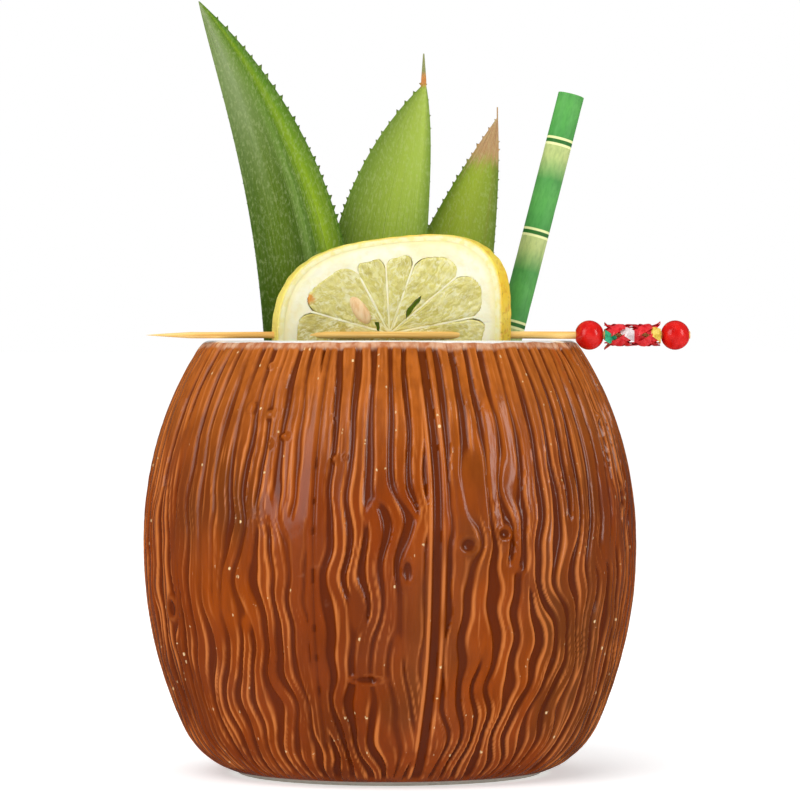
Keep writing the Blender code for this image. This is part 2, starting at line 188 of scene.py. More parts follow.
def carve(turn, height, radius):
    """Depth of the carving in millimetres, and how much of a groove and of an edge each point has."""
    # The husk's lines bow out round each knot and each polished patch
    bowed = turn.copy()
    smooth_patch = np.zeros(turn.shape)
    for angle, level, width, tall in KNOTS:
        _, across, up = spot(turn, height, radius, (angle, level, width * 2.1, tall * 3.6))
        pull = np.exp(-(across**2) - up**2)
        bowed -= across * width * 2.1 / radius * 0.8 * pull
        smooth_patch = np.maximum(smooth_patch, np.exp(-((across * 1.45) ** 2 + (up * 1.7) ** 2) ** 2))
    for place in POLISHED:
        _, across, up = spot(turn, height, radius, place)
        bowed -= across * place[2] / radius * 0.6 * np.exp(-(across**2) - up**2)
        smooth_patch = np.maximum(smooth_patch, 0.92 * np.exp(-((across * 1.1) ** 2 + up**2) ** 2))

    # Uneven stripes that run straight under the lip and wander lower down, deep at their middles
    broad = grain(turn, height, 9, 5, 0.09, 5).real
    fine = grain(turn, height, 30, 12, 0.11, 8).real
    restless = 0.25 + 0.75 * step(78, 52, height)
    sway = grain(turn, height, 5, 3, 0.17, 3).real * 1.1 + grain(turn, height, 14, 6, 0.26, 14).real * 0.75
    bowed = bowed + sway * restless / radius
    stripes = grain(bowed, height, GROOVES_ROUND, 9, 0.055, 11)
    share = np.angle(stripes) / (2 * math.pi)
    half = 0.17 + 0.045 * fine + 0.03 * broad
    strength = step(0.04, 0.3, np.abs(stripes)) * (0.55 + 0.45 * step(-1.2, 0.6, broad + 0.5 * fine))
    quiet = step(-14, -34, np.degrees(turn)) * step(-110, -80, np.degrees(turn))
    strength *= (1 - smooth_patch) * (1 - 0.28 * quiet)
    off = np.abs(share)
    groove = step(half + 0.085, half - 0.075, off) * strength
    edge = peak(off - half, 0.1, 0.075) * strength * (1 + 0.4 * quiet)

    # Fine threads where the glaze has broken between the grooves
    threads = grain(bowed, height, 2.4 * GROOVES_ROUND, 24, 0.06, 23)
    thread = peak(np.angle(threads), 0, 0.7) * step(0.25, 1.0, np.abs(threads))
    thread *= (1 - groove) * (1 - 0.6 * smooth_patch)
    edge = np.maximum(edge, 0.6 * thread)

    # The split and the mould's seam push the stripes aside
    wander = 0.25 * np.sin(height / 17) + 0.12 * np.sin(height / 6.1)
    away = (turn - math.radians(SPLIT_ANGLE)) * radius + wander + 1.3 * ((height - 50) / 45) ** 2
    beside = step(2.6, 1.8, np.abs(away))
    split = step(1.2, 0.7, np.abs(away))
    groove = groove * (1 - beside) + split
    edge = edge * (1 - beside) + 1.1 * peak(np.abs(away), 1.5, 0.32)

    away = (turn - math.radians(SEAM_ANGLE)) * radius + wander * 0.2
    beside = step(1.5, 0.8, np.abs(away)) * step(3, 12, height)
    slot = step(0.72, 0.84, np.sin(height * 0.72 + 1.5 * np.sin(height * 0.21))) * step(74, 70, height)
    line = step(0.6, 0.15, np.abs(away)) * (0.5 + 0.25 * slot)
    groove = groove * (1 - beside) + line * beside
    edge = edge * (1 - 0.8 * beside) + 0.35 * peak(np.abs(away), 0.95, 0.3) * beside

    # Knots and slits are dents with a rim, and drips stand out
    depth = GROOVE_DEPTH * groove * (1 + 0.1 * split) - EDGE_RISE * edge + 0.09 * fine + 0.1 * broad
    for place in KNOTS:
        near, _, _ = spot(turn, height, radius, place)
        dent = np.exp(-(near**4))
        ring = peak(near, 1.55, 0.4)
        depth += KNOT_DEPTH * dent - KNOT_RIM * ring
        groove = np.maximum(groove * (1 - 0.8 * ring), 1.1 * dent)
        edge = np.maximum(edge, 0.35 * ring)
    for place in SLITS:
        near, _, _ = spot(turn, height, radius, place)
        dent = np.exp(-(near**4))
        ring = peak(near, 1.6, 0.4)
        depth = depth * (1 - ring) + SLIT_DEPTH * dent
        groove = np.maximum(groove * (1 - ring), 1.2 * dent)
        edge = np.maximum(edge * (1 - dent), 0.6 * ring)
    for place in DRIPS:
        near, _, _ = spot(turn, height, radius, place)
        bead = np.exp(-(near**3))
        depth = depth * (1 - bead) - DRIP_RISE * bead
        groove = groove * (1 - bead) + 0.35 * peak(near, 1.25, 0.3)
        edge = np.maximum(edge * (1 - bead), 0.5 * peak(near, 0, 0.5))
    return np.maximum(depth, -HIGHEST_BUMP), np.clip(groove, 0, 1), np.clip(edge, 0, 1.2)


def circle(count):
    """So many angles, spaced evenly all the way round."""
    return np.arange(count) * 2 * math.pi / count


def grid_faces(rows, columns, closed_rows=False, closed_columns=False):
    """Corner numbers of the squares of a grid, whose last row or column may join its first."""
    row = np.arange(rows if closed_rows else rows - 1)[:, None]
    column = np.arange(columns if closed_columns else columns - 1)[None, :]
    below, right = (row + 1) % rows, (column + 1) % columns
    row, below = row * columns, below * columns
    corners = (row + column, row + right, below + right, below + column)
    return np.stack([np.broadcast_to(c, (row.size, column.size)) for c in corners], -1).reshape(-1, 4)


def closed_tube(rows, columns):
    """Faces of a tube of that many rings, closed at both ends."""
    last = (rows - 1) * columns
    return [*grid_faces(rows, columns, closed_columns=True), range(columns), range(last, last + columns)]


def close_mesh(mesh):
    """Joins points that fall together and turns every face outwards."""
    bm = bmesh.new()
    bm.from_mesh(mesh)
    bmesh.ops.remove_doubles(bm, verts=bm.verts, dist=1e-7)
    bmesh.ops.recalc_face_normals(bm, faces=bm.faces)
    bm.to_mesh(mesh)
    bm.free()


def add_object(name, data):
    obj = bpy.data.objects.new(name, data)
    bpy.context.scene.collection.objects.link(obj)
    return obj


def make_piece(name, points, faces, material, body, node, marks=None, sharp=40, stand=None):
    """One finished piece that rides on its body, with a number at each point for every name in marks."""
    points = np.asarray(points, float)
    mesh = bpy.data.meshes.new(name)
    mesh.from_pydata(points.reshape(-1, 3).tolist(), [], [list(f) for f in faces])
    for mark, values in (marks or {}).items():
        values = np.broadcast_to(values, points.shape[:-1])
        layer = mesh.attributes.new(mark, "FLOAT", "POINT")
        layer.data.foreach_set("value", values.reshape(-1).astype(np.float32))
    close_mesh(mesh)
    mesh.validate()
    mesh.shade_smooth()
    mesh.set_sharp_from_angle(angle=math.radians(sharp))
    mesh.materials.append(material)
    obj = add_object(name, mesh)
    if stand:
        obj.matrix_world = stand
    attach(obj, body)
    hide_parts(node)
    return obj


def rgb(red, green, blue):
    """A colour as seen, from 0 to 255 each way, in the linear numbers that a shader takes."""
    seen = (c / 255 for c in (red, green, blue))
    return (*(c / 12.92 if c <= 0.04045 else ((c + 0.055) / 1.055) ** 2.4 for c in seen), 1.0)


class Finish:
    """One surface finish, put together a node at a time."""

    def __init__(self, name, **settings):
        self.material = bpy.data.materials.new(name)
        self.material.use_nodes = True
        self.nodes = self.material.node_tree.nodes
        for socket, value in settings.items():
            self.set(socket.replace("_", " "), value)
        self.place = self.add("TexCoord", "Object")

    def join(self, value, socket):
        if isinstance(value, bpy.types.NodeSocket):
            self.material.node_tree.links.new(value, socket)
        elif value is not None:
            socket.default_value = value

    def set(self, socket, value):
        self.join(value, self.nodes["Principled BSDF"].inputs[socket])

    def done(self, colour, roughness, normal):
        for socket, value in (("Base Color", colour), ("Roughness", roughness), ("Normal", normal)):
            self.set(socket, value)
        return self.material

    def add(self, kind, output, inputs=None, **settings):
        """One output of a new node, whose inputs are given by name or by number."""
        node = self.nodes.new("ShaderNode" + kind)
        for setting, value in settings.items():
            setattr(node, setting, value)
        for socket, value in (inputs or {}).items():
            self.join(value, node.inputs[socket])
        return node.outputs[output]

    def mark(self, name):
        return self.add("Attribute", "Fac", attribute_name=name)

    def part(self, axis):
        return self.add("SeparateXYZ", axis, {0: self.place})

    def vector(self, x, y):
        return self.add("CombineXYZ", "Vector", {"X": x, "Y": y})

    def stretch(self, scale, place=None, turn=(0, 0, 0)):
        inputs = {"Vector": place or self.place, "Scale": scale, "Rotation": turn}
        return self.add("Mapping", "Vector", inputs)

    def noise(self, scale, detail=3.0, roughness=0.5, place=None, distortion=0.0):
        inputs = {"Vector": place or self.place, "Scale": scale, "Detail": detail, "Roughness": roughness}
        return self.add("TexNoise", "Fac", {**inputs, "Distortion": distortion})

    def cells(self, scale):
        return self.add("TexVoronoi", "Distance", {"Vector": self.place, "Scale": scale})

    def math(self, operation, first, second=None):
        return self.add("Math", 0, {0: first, 1: second}, operation=operation)

    def plus(self, first, second):
        return self.math("ADD", first, second)

    def minus(self, first, second):
        return self.math("SUBTRACT", first, second)

    def times(self, first, second):
        return self.math("MULTIPLY", first, second)

    def span(self, value, low, high, to_low=0.0, to_high=1.0):
        """The value carried from low..high to to_low..to_high, and held there."""
        inputs = {"Value": value, "From Min": low, "From Max": high, "To Min": to_low, "To Max": to_high}
        return self.add("MapRange", "Result", inputs, interpolation_type="SMOOTHSTEP")

    def mix(self, share, first, second):
        return self.add("Mix", 2, {0: share, 6: first, 7: second}, data_type="RGBA")

    def tint(self, under, seen, value, low, high, most=1.0):
        """A colour as seen, laid over another where the value goes from low to high."""
        return self.mix(self.span(value, low, high, 0.0, most), under, rgb(*seen))

    def ramp(self, value, *stops):
        """Colours along a value. Each stop is its place, then its colour as seen."""
        node = self.nodes.new("ShaderNodeValToRGB")
        self.join(value, node.inputs["Fac"])
        elements = node.color_ramp.elements
        while len(elements) < len(stops):
            elements.new(1.0)
        for element, (at, *seen) in zip(elements, stops):
            element.position = at
            element.color = rgb(*seen)
        return node.outputs["Color"]

    def bump(self, height, distance, strength=1.0, over=None):
        inputs = {"Height": height, "Distance": distance, "Strength": strength, "Normal": over}
        return self.add("Bump", "Normal", inputs)


def mug_glaze():
    """Amber over the carving, white where the mark "white" is, and bare clay where "bare" is."""
    glaze = Finish("mug_glaze", Coat_Weight=0.16, Coat_Roughness=0.1, IOR=1.5, Specular_IOR_Level=0.38)
    upright = glaze.stretch((1, 1, 0.16))
    broad = glaze.noise(26, 3, 0.5, glaze.stretch((1, 1, 0.6)))
    streak = glaze.noise(420, 4, 0.55, upright)
    body = glaze.ramp(broad, (0.3, 106, 44, 4), (0.47, 133, 54, 4), (0.6, 150, 66, 5), (0.74, 114, 54, 10))
    shade = glaze.noise(34, 3, 0.55, glaze.stretch((1, 1, 0.35)))
    body = glaze.tint(body, (84, 50, 16), shade, 0.52, 0.7, 0.6)
    # Painted light: the amber is made lighter towards the top of the mug, where the light from above falls on
    # it.
    body = glaze.tint(body, (200, 112, 36), glaze.part("Z"), 0.06, 0.094, 0.6)
    body = glaze.tint(body, (102, 42, 4), streak, 0.3, 0.75, 0.45)
    pooled = glaze.span(glaze.plus(glaze.mark("groove"), glaze.times(streak, 0.25)), 0.2, 0.95)
    body = glaze.tint(body, (94, 34, 4), pooled, 0.0, 1.0, 0.85)
    broken = glaze.times(glaze.mark("edge"), glaze.span(glaze.noise(150, 3, 0.6, upright), 0.3, 0.68))
    body = glaze.tint(body, (196, 112, 50), broken, 0.05, 0.7, 0.95)
    speck = glaze.cells(560)
    chance = glaze.noise(330, 1)
    pinhole = glaze.times(glaze.span(speck, 0.26, 0.16), glaze.span(chance, 0.6, 0.64))
    pinhole = glaze.times(pinhole, glaze.span(glaze.mark("edge"), 0.25, 0.7))
    body = glaze.mix(pinhole, body, rgb(238, 205, 150))

    wobble = glaze.times(glaze.noise(160, 3), 0.9)
    white = glaze.plus(glaze.mark("white"), glaze.minus(wobble, 0.45))
    drawn = glaze.noise(420, 3, 0.6, glaze.stretch((1, 1, 0.12)))
    thin = glaze.mix(glaze.span(drawn, 0.35, 0.65), rgb(182, 112, 72), rgb(222, 176, 142))
    cream = glaze.mix(glaze.noise(90, 4), rgb(236, 233, 226), rgb(247, 245, 241))
    body = glaze.mix(glaze.span(white, 0.18, 0.5, 0.0, 0.85), body, thin)
    body = glaze.mix(glaze.span(white, 0.84, 1.0), body, cream)
    clay = glaze.mix(glaze.noise(900, 3), rgb(150, 143, 132), rgb(188, 181, 170))
    bare = glaze.span(glaze.plus(glaze.mark("bare"), glaze.times(wobble, 0.3)), 0.5, 0.75)
    body = glaze.mix(bare, body, clay)
    satin = glaze.span(glaze.noise(60, 3), 0.3, 0.7, 0.15, 0.27)
    ripple = glaze.bump(glaze.noise(260, 2), 0.00025, 0.5)
    pits = glaze.bump(glaze.times(pinhole, -1.0), 0.0002, 0.6, ripple)
    return glaze.done(body, glaze.plus(satin, glaze.times(bare, 0.55)), pits)


# The turned outline is carried round, and each point is sunk along the wall's own direction
outline = mug_outline()
rows = len(outline)
radius = np.array([p.x for p in outline])[:, None]
height = np.array([p.y for p in outline])[:, None]
ahead = np.gradient(np.hstack([radius, height]), axis=0)
length = np.hypot(ahead[:, :1], ahead[:, 1:])
out, rise = ahead[:, 1:] / length, -ahead[:, :1] / length
turn = np.broadcast_to(circle(MUG_COLUMNS), (rows, MUG_COLUMNS))
turn = (turn + math.pi) % (2 * math.pi) - math.pi
outer = np.arange(rows)[:, None] <= np.argmax(height)
# The carving stops short of the foot and the lip. White glaze covers the lip and the inside.
carved = outer * step(0.0009, 0.0028, height) * step(0.0961, 0.0945, height)
depth, groove, edge = carve(turn, height * 1000, np.broadcast_to(radius * 1000, turn.shape))
sunk = depth * carved / 1000
radial = radius - out * sunk
points = np.stack([radial * np.sin(turn), -radial * np.cos(turn), height - rise * sunk], -1)
lip_share = np.where(outer, step(0.0934, 0.0972, height) + 0.4 * step(0.0959, 0.0965, height), 1.4)
foot_share = outer * step(0.0014, 0.0006, height)
marks = {"groove": groove * carved, "edge": edge * carved, "white": lip_share, "bare": foot_share}
make_piece("mug", points, closed_tube(rows, MUG_COLUMNS), mug_glaze(), "mug", "mug_body", marks,
           sharp=60)


# ---------------------------------------------------------------- straw
# A spiral-wound paper tube printed to look like bamboo: green, paling below each printed joint.
# It stands on the mug's floor and leans on the back right of the lip.

straw_low, straw_high = (Vector(corner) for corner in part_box("paper_straw"))
STRAW_RADIUS = 0.003
STRAW_WALL = 0.0004
STRAW_SIDES = 64
STRAW_ROWS = 150
JOINT_SPACING = 0.0216
FIRST_JOINT = 0.0114  # below the straw's top
LAP_PITCH = 0.0235  # how far the paper climbs in one turn
LAP_STEP = 0.00003
joints = frame["record"]["behaviour"]["joints"]
straw_axis = Vector(next(j for j in joints if j["name"] == "straw_lift")["axis"])
reach = [STRAW_RADIUS * math.sqrt(1 - a * a) for a in straw_axis]
straw_top = Vector(straw_high[i] - reach[i] for i in range(3))
straw_foot = Vector(straw_low[i] + reach[i] for i in range(3))


def straw_paper(length):
    """Printed paper: near is the distance from the nearest joint, which is a dark line in a pale one."""
    paper = Finish("straw_paper")
    down = paper.minus(length, paper.part("Z"))
    since = paper.math("MODULO", paper.plus(down, JOINT_SPACING - FIRST_JOINT), JOINT_SPACING)
    share = paper.math("DIVIDE", since, JOINT_SPACING)
    uneven = paper.noise(300, 3, 0.6, paper.stretch((1, 1, 0.25)))
    share = paper.plus(share, paper.times(paper.minus(uneven, 0.5), 0.05))
    printed = paper.ramp(
        share,
        (0.0, 205, 217, 140),
        (0.16, 196, 212, 132),
        (0.3, 150, 190, 110),
        (0.42, 88, 166, 80),
        (0.62, 98, 180, 84),
        (0.9, 84, 168, 78),
        (1.0, 76, 158, 72),
    )
    fibre = paper.noise(1500, 3, 0.6, paper.stretch((1, 1, 0.3)))
    printed = paper.tint(printed, (36, 112, 48), fibre, 0.35, 0.75, 0.28)
    half = JOINT_SPACING / 2
    centred = paper.minus(paper.math("MODULO", paper.plus(since, half), JOINT_SPACING), half)
    near = paper.math("ABSOLUTE", centred)
    printed = paper.tint(printed, (246, 250, 178), near, 0.00105, 0.00095)
    printed = paper.tint(printed, (48, 120, 44), near, 0.00048, 0.00038)
    printed = paper.mix(paper.mark("inside"), printed, rgb(238, 240, 226))
    wound = paper.bump(paper.plus(paper.mark("lap"), paper.times(fibre, 0.3)), 0.00012, 0.8)
    return paper.done(printed, paper.span(fibre, 0.2, 0.8, 0.4, 0.6), wound)


straw_length = (straw_top - straw_foot).length
upright = np.linspace(0.0006, straw_length - 0.0006, STRAW_ROWS)
levels = np.array([0, 0.0001, *upright, straw_length - 0.0001, straw_length])
# The tube, rounded a little at its cut ends, with the overlap of the paper winding up its outside
soft = np.ones(levels.size)
soft[[0, -1]] = 0.975
outside = np.stack([levels, STRAW_RADIUS * soft], -1)
inside = np.stack([levels, (STRAW_RADIUS - STRAW_WALL) * (2 - soft)], -1)[::-1]
section = np.vstack([outside, inside])
around = circle(STRAW_SIDES)
lap = (section[:, :1] / LAP_PITCH + around[None, :] / (2 * math.pi)) % 1
outer = np.arange(len(section))[:, None] < len(levels)
tube = section[:, 1:] + np.where(outer, LAP_STEP * step(0.0, 0.05, lap) * step(1.0, 0.9, lap), 0) - LAP_STEP
section_height = np.broadcast_to(section[:, :1], tube.shape)
points = np.stack([tube * np.cos(around), tube * np.sin(around), section_height], -1)
inner_share = (np.arange(len(section)) >= len(levels) - 1)[:, None] * 1.0
stand = Matrix.Translation(straw_foot) @ straw_axis.to_track_quat("Z", "Y").to_matrix().to_4x4()
faces = grid_faces(len(section), STRAW_SIDES, True, True)
marks = {"inside": inner_share, "lap": step(0.0, 0.06, lap)}
make_piece("straw", points, faces, straw_paper(straw_length), "straw", "paper_straw", marks,
           stand=stand)


# ---------------------------------------------------------------- pick
# A split-bamboo skewer, shaved to a long needle point. It lies across the lip, and the beads and the braid
# are fixed on its tail.

skewer_low, skewer_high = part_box("pick_skewer")
PICK_RADIUS = (skewer_high[2] - skewer_low[2]) / 2
PICK_Y = (skewer_low[1] + skewer_high[1]) / 2
PICK_Z = (skewer_low[2] + skewer_high[2]) / 2
PICK_LENGTH = 0.12
PICK_POINT = 0.010
PICK_TAPER = 0.8  # width where the point begins over the width at the tail
PICK_SIDES = 28


def along_pick(x, radius, angle):
    """Points round the pick's axis, at x."""
    across, up = PICK_Y + radius * np.cos(angle), PICK_Z + radius * np.sin(angle)
    return np.stack([np.broadcast_to(x, np.shape(angle * radius)), across, up], -1)


def bamboo():
    cane = Finish("bamboo")
    fibre = cane.noise(1400, 4, 0.6, cane.stretch((0.035, 1, 1)))
    patch = cane.noise(60, 3, 0.5)
    colour = cane.ramp(fibre, (0.3, 222, 164, 80), (0.5, 246, 200, 112), (0.7, 252, 220, 146))
    colour = cane.tint(colour, (228, 164, 84), patch, 0.45, 0.7, 0.45)
    return cane.done(colour, cane.span(fibre, 0.2, 0.8, 0.38, 0.6), cane.bump(fibre, 0.0001, 0.7))


point_levels = np.linspace(0, 1, 34)[1:] ** 1.2 * PICK_POINT
stick_levels = np.linspace(PICK_POINT, PICK_LENGTH - 0.0002, 120)[1:]
levels = np.array([*point_levels, *stick_levels, PICK_LENGTH, skewer_high[0] - skewer_low[0]])
sides = circle(PICK_SIDES)
body_share = np.clip((levels - PICK_POINT) / (PICK_LENGTH - PICK_POINT), 0, 1)
taper = np.minimum(levels / PICK_POINT, 1) ** 0.85 * (PICK_TAPER + (1 - PICK_TAPER) * body_share)
taper[-1] = 0.86
# Shallow flats that the knife left wind along the stick
flats = 1 + np.sin(3 * sides[None, :] + 7 * np.sin(levels[:, None] * 38))
shaved = 1 - 0.035 * flats * np.minimum(1, levels[:, None] / 0.02)
shape = PICK_RADIUS * taper[:, None] * shaved
angle = np.broadcast_to(sides, shape.shape)
points = along_pick((skewer_low[0] + levels)[:, None], shape, angle)
tip_row = np.broadcast_to(np.array([skewer_low[0], PICK_Y, PICK_Z]), (1, PICK_SIDES, 3))
last = len(levels) * PICK_SIDES
faces = [*grid_faces(len(levels) + 1, PICK_SIDES, closed_columns=True), range(last, last + PICK_SIDES)]
make_piece("pick_stick", np.vstack([tip_row, points]), faces, bamboo(), "pick", "pick_skewer")


# ---------------------------------------------------------------- beads
# Two turned wooden beads, drilled through and dipped in glossy red lacquer. They are threaded on the tail of
# the pick and glued there.

BEAD_BORE = 0.00118  # radius of the hole at the bead's ends
BEAD_SIDES = 56


def red_lacquer():
    lacquer = Finish("bead_red", Coat_Weight=0.35, Coat_Roughness=0.14)
    mottle = lacquer.noise(420, 3)
    colour = lacquer.ramp(mottle, (0.3, 190, 12, 10), (0.55, 218, 22, 16), (0.75, 228, 34, 24))
    ripple = lacquer.bump(lacquer.noise(900, 2), 0.0001, 0.35)
    return lacquer.done(colour, lacquer.span(mottle, 0.3, 0.7, 0.16, 0.3), ripple)


lacquer = red_lacquer()
for name in ("bead_inner", "bead_outer"):
    low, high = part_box(name)
    half_length, bead_radius = (high[0] - low[0]) / 2, (high[2] - low[2]) / 2
    widest = math.acos(BEAD_BORE / bead_radius)
    swell = [
        (half_length * math.sin(a) / math.sin(widest), bead_radius * math.cos(a))
        for a in between(-widest, widest, 40)
    ]
    rim = [(x * 0.985, r * 0.93) for x, r in (swell[-1], swell[0])]
    section = np.array([*swell, *rim])
    sides = circle(BEAD_SIDES)
    uneven = 0.006 * np.sin(2 * sides + 1) * np.sin(section[:, :1] / half_length * 2)
    section_radius = section[:, 1:] * (1 + uneven)
    x = (low[0] + high[0]) / 2 + section[:, :1]
    points = along_pick(x, section_radius, np.broadcast_to(sides, section_radius.shape))
    faces = grid_faces(len(section), BEAD_SIDES, True, True)
    make_piece(name.replace("bead", "pick_bead"), points, faces, lacquer, "pick", name)


# ---------------------------------------------------------------- braid
# Eight narrow ribbons of glossy film, plaited tight round the stick between the two beads. All are red, and
# three show a short flash of green, silver or gold foil. Some of their cut ends stand out.

strip_low, strip_high = (np.array(corner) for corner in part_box("braid_strip_red_1"))
BRAID_START = strip_low[0]
BRAID_LENGTH = strip_high[0] - strip_low[0]
RIBBON_WIDTH = 0.0019
RIBBON_THICKNESS = 0.00014
WEAVE_PITCH = 0.024
WEAVE_MIDDLE = 0.0021
WEAVE_SWING = 0.00026
FLARE_LENGTH = 0.0018  # of the end of a ribbon that stands out
FOIL_EDGE = 0.0002
RED = ((196, 16, 26), (238, 52, 58))


def ribbon_film(name, dark, light, metal, begin=0.0, end=1.0):
    """Red film, with the foil's own two colours from begin to end along the pick."""
    film = Finish(name, Metallic=metal, Coat_Weight=0.4, Coat_Roughness=0.1)
    crease = film.noise(700, 3, 0.6)
    red = film.ramp(crease, (0.3, *RED[0]), (0.65, *RED[1]))
    along = film.part("X")
    foil = film.times(film.span(along, begin - FOIL_EDGE, begin), film.span(along, end + FOIL_EDGE, end))
    colour = film.mix(foil, red, film.ramp(crease, (0.3, *dark), (0.65, *light)))
    wrinkles = film.bump(film.noise(1100, 2), 0.00015, 0.8)
    return film.done(colour, film.span(crease, 0.3, 0.7, 0.2, 0.42), wrinkles)


film_of = {
    "red": ribbon_film("strip_red", *RED, 0.0),
    "green": ribbon_film("strip_green", (8, 128, 84), (60, 190, 140), 0.1, 0.0472, 0.0500),
    "silver": ribbon_film("strip_silver", (214, 194, 194), (246, 234, 234), 0.2, 0.0510, 0.0538),
    "gold": ribbon_film("strip_gold", (206, 158, 32), (246, 218, 96), 0.2, 0.0578, 0.0600),
}
RIBBONS = (
    # name, hand, number, how far each end stands out
    ("gold", 1, 0, 0.0, 0.0008),
    ("silver", 1, 1, 0.0, 0.0),
    ("green", 1, 2, 0.0, 0.0),
    ("red_1", 1, 3, 0.0009, 0.0007),
    ("red_2", -1, 0, 0.0, 0.0006),
    ("red_3", -1, 1, 0.0011, 0.0),
    ("red_4", -1, 2, 0.0, 0.0),
    ("red_5", -1, 3, 0.0, 0.0008),
)
for name, hand, number, start_flare, end_flare in RIBBONS:
    draw = np.random.default_rng(number * 7 + hand + 3)
    along = np.linspace(0.00005, BRAID_LENGTH - 0.00005, 90)[:, None]
    across = np.linspace(-1, 1, 9)[None, :]
    wind = 2 * math.pi / WEAVE_PITCH
    pass_over = np.cos(4 * wind * along)  # over one ribbon of the other hand, then under the next
    middle = WEAVE_MIDDLE + hand * WEAVE_SWING * np.tanh(2.2 * pass_over) / math.tanh(2.2)
    middle = middle + start_flare * np.clip(1 - along / FLARE_LENGTH, 0, 1) ** 2
    middle = middle + end_flare * np.clip(1 - (BRAID_LENGTH - along) / FLARE_LENGTH, 0, 1) ** 2
    slant = math.atan(wind * WEAVE_MIDDLE)
    half_angle = RIBBON_WIDTH / 2 / math.cos(slant) / WEAVE_MIDDLE
    crumple = sum(
        0.00004 * np.sin(draw.uniform(1500, 4200) * along + draw.uniform(1, 3) * across + draw.uniform(0, 6))
        for _ in range(4)
    )
    flat = 1 + 0.055 * (across**2 - 0.4)
    ribbon_radius = middle * flat + crumple
    ribbon_angle = hand * wind * along + 2 * math.pi * number / 4 + across * half_angle
    over, under = (
        along_pick(BRAID_START + along, ribbon_radius + lift, ribbon_angle)
        for lift in (RIBBON_THICKNESS / 2, -RIBBON_THICKNESS / 2)
    )
    loop = np.concatenate([over, under[:, ::-1]], axis=1)
    colour = name.split("_")[0]
    make_piece(f"ribbon_{name}", loop, closed_tube(*loop.shape[:2]), film_of[colour], "pick",
               f"braid_strip_{name}")


# ---------------------------------------------------------------- lemon wheel
# A whole slice of lemon, pushed on to the pick so that it hangs in the mouth of the mug and bows forward at
# both ends. Its rind, pith, eleven segments and one seed are cut through flat, front and back.

LEMON_HALF_HEIGHT = 0.0213
LEMON_HALF_WIDTH = 0.02469
LEMON_RISE = 0.0003
LEMON_SQUARENESS = 3.0  # 2 is an ellipse, and more is squarer
LEMON_THICKNESS = 0.0047
LEMON_CURL_LEFT = 0.0042
LEMON_CURL_RIGHT = 0.006
LEMON_TILT = 0.125
LEMON_FRONT = PICK_Y + PICK_RADIUS + 0.0003
PEEL_THICKNESS = 0.0014
PITH_LEFT = 0.0027
PITH_RIGHT = 0.0025
PITH_TOP = 0.0031
MEMBRANE = 0.0008
SEGMENT_OVERLAP = 0.00027  # how far a segment runs into its membrane
SEGMENT_SQUARENESS = 2.6
MEMBRANE_ANGLES = (4, 36, 70, 93, 116, 158, 197, 232, 268, 303, 335)
SEGMENTS = range(1, len(MEMBRANE_ANGLES) + 1)
LEMON_COLUMNS = 360
CUT_SINK = 0.00012  # how far the pith lies in from the cut
POCKET_WALL = 0.0004  # half of the thin wall that is left across a pocket
PITH_ROWS, PITH_COLUMNS = 96, 600
SEGMENT_ROWS, SEGMENT_COLUMNS = 70, 54
BRUISE_X, BRUISE_Z = -0.0176, 0.1056


def oval_radius(angle, right, left, height, squareness):
    width = np.where(np.cos(angle) > 0, right, left)
    across = np.abs(np.cos(angle)) / width
    up = np.abs(np.sin(angle)) / height
    return (across**squareness + up**squareness) ** (-1 / squareness)


def lemon_outline(angle, inset):
    width, height = LEMON_HALF_WIDTH - inset, LEMON_HALF_HEIGHT - inset
    return oval_radius(angle, width, width, height, LEMON_SQUARENESS)


def in_wheel(x, z, deep):
    """A point of the slice: x and z flat on its front face, and deep behind that face."""
    out = np.abs(x) / LEMON_HALF_WIDTH
    right = x > 0
    curl = np.where(right, LEMON_CURL_RIGHT * out**2.4, LEMON_CURL_LEFT * out**2)
    slope = np.where(right, LEMON_CURL_RIGHT * 2.4 * out**1.4, -LEMON_CURL_LEFT * 2 * out) / LEMON_HALF_WIDTH
    size = np.sqrt(1 + slope**2)
    y = LEMON_FRONT - curl + deep / size
    return np.stack([x + deep * slope / size, y, PICK_Z + LEMON_RISE + z + LEMON_TILT * x], -1)


def lumps(u, v, seed, waves=40, low=1.0, high=4.0):
    """A smooth random field over two coordinates, of about unit size."""
    draw = np.random.default_rng(seed)
    total = np.zeros(np.broadcast(u, v).shape)
    for _ in range(waves):
        pace, way = draw.uniform(low, high), draw.uniform(0, 2 * math.pi)
        total += np.sin(pace * (u * math.cos(way) + v * math.sin(way)) + draw.uniform(0, 2 * math.pi))
    return total / math.sqrt(waves / 2)


def rind():
    peel = Finish("lemon_peel", Coat_Weight=0.15, Coat_Roughness=0.2, Subsurface_Weight=0.15,
                  Subsurface_Radius=(0.002, 0.001, 0.0003))
    pore = peel.cells(900)
    tone = peel.noise(130, 4, 0.55)
    colour = peel.ramp(tone, (0.3, 242, 196, 44), (0.5, 250, 216, 72), (0.7, 253, 230, 104))
    colour = peel.tint(colour, (226, 150, 34), peel.noise(420, 3), 0.5, 0.72, 0.55)
    colour = peel.tint(colour, (206, 142, 24), pore, 0.3, 0.12, 0.35)
    face = peel.mix(peel.span(peel.noise(700, 3), 0.4, 0.65), rgb(253, 247, 196), rgb(250, 238, 160))
    # Painted highlight: the peel is tinted paler yellow towards its left side, where the light falls on it.
    colour = peel.tint(colour, (250, 232, 120), peel.part("X"), 0.002, -0.016, 0.75)
    colour = peel.mix(peel.mark("cut"), colour, face)
    pits = peel.times(peel.span(pore, 0.05, 0.45), peel.minus(1.0, peel.mark("cut")))
    return peel.done(colour, peel.span(tone, 0.3, 0.7, 0.3, 0.46), peel.bump(pits, 0.0003, 0.6))


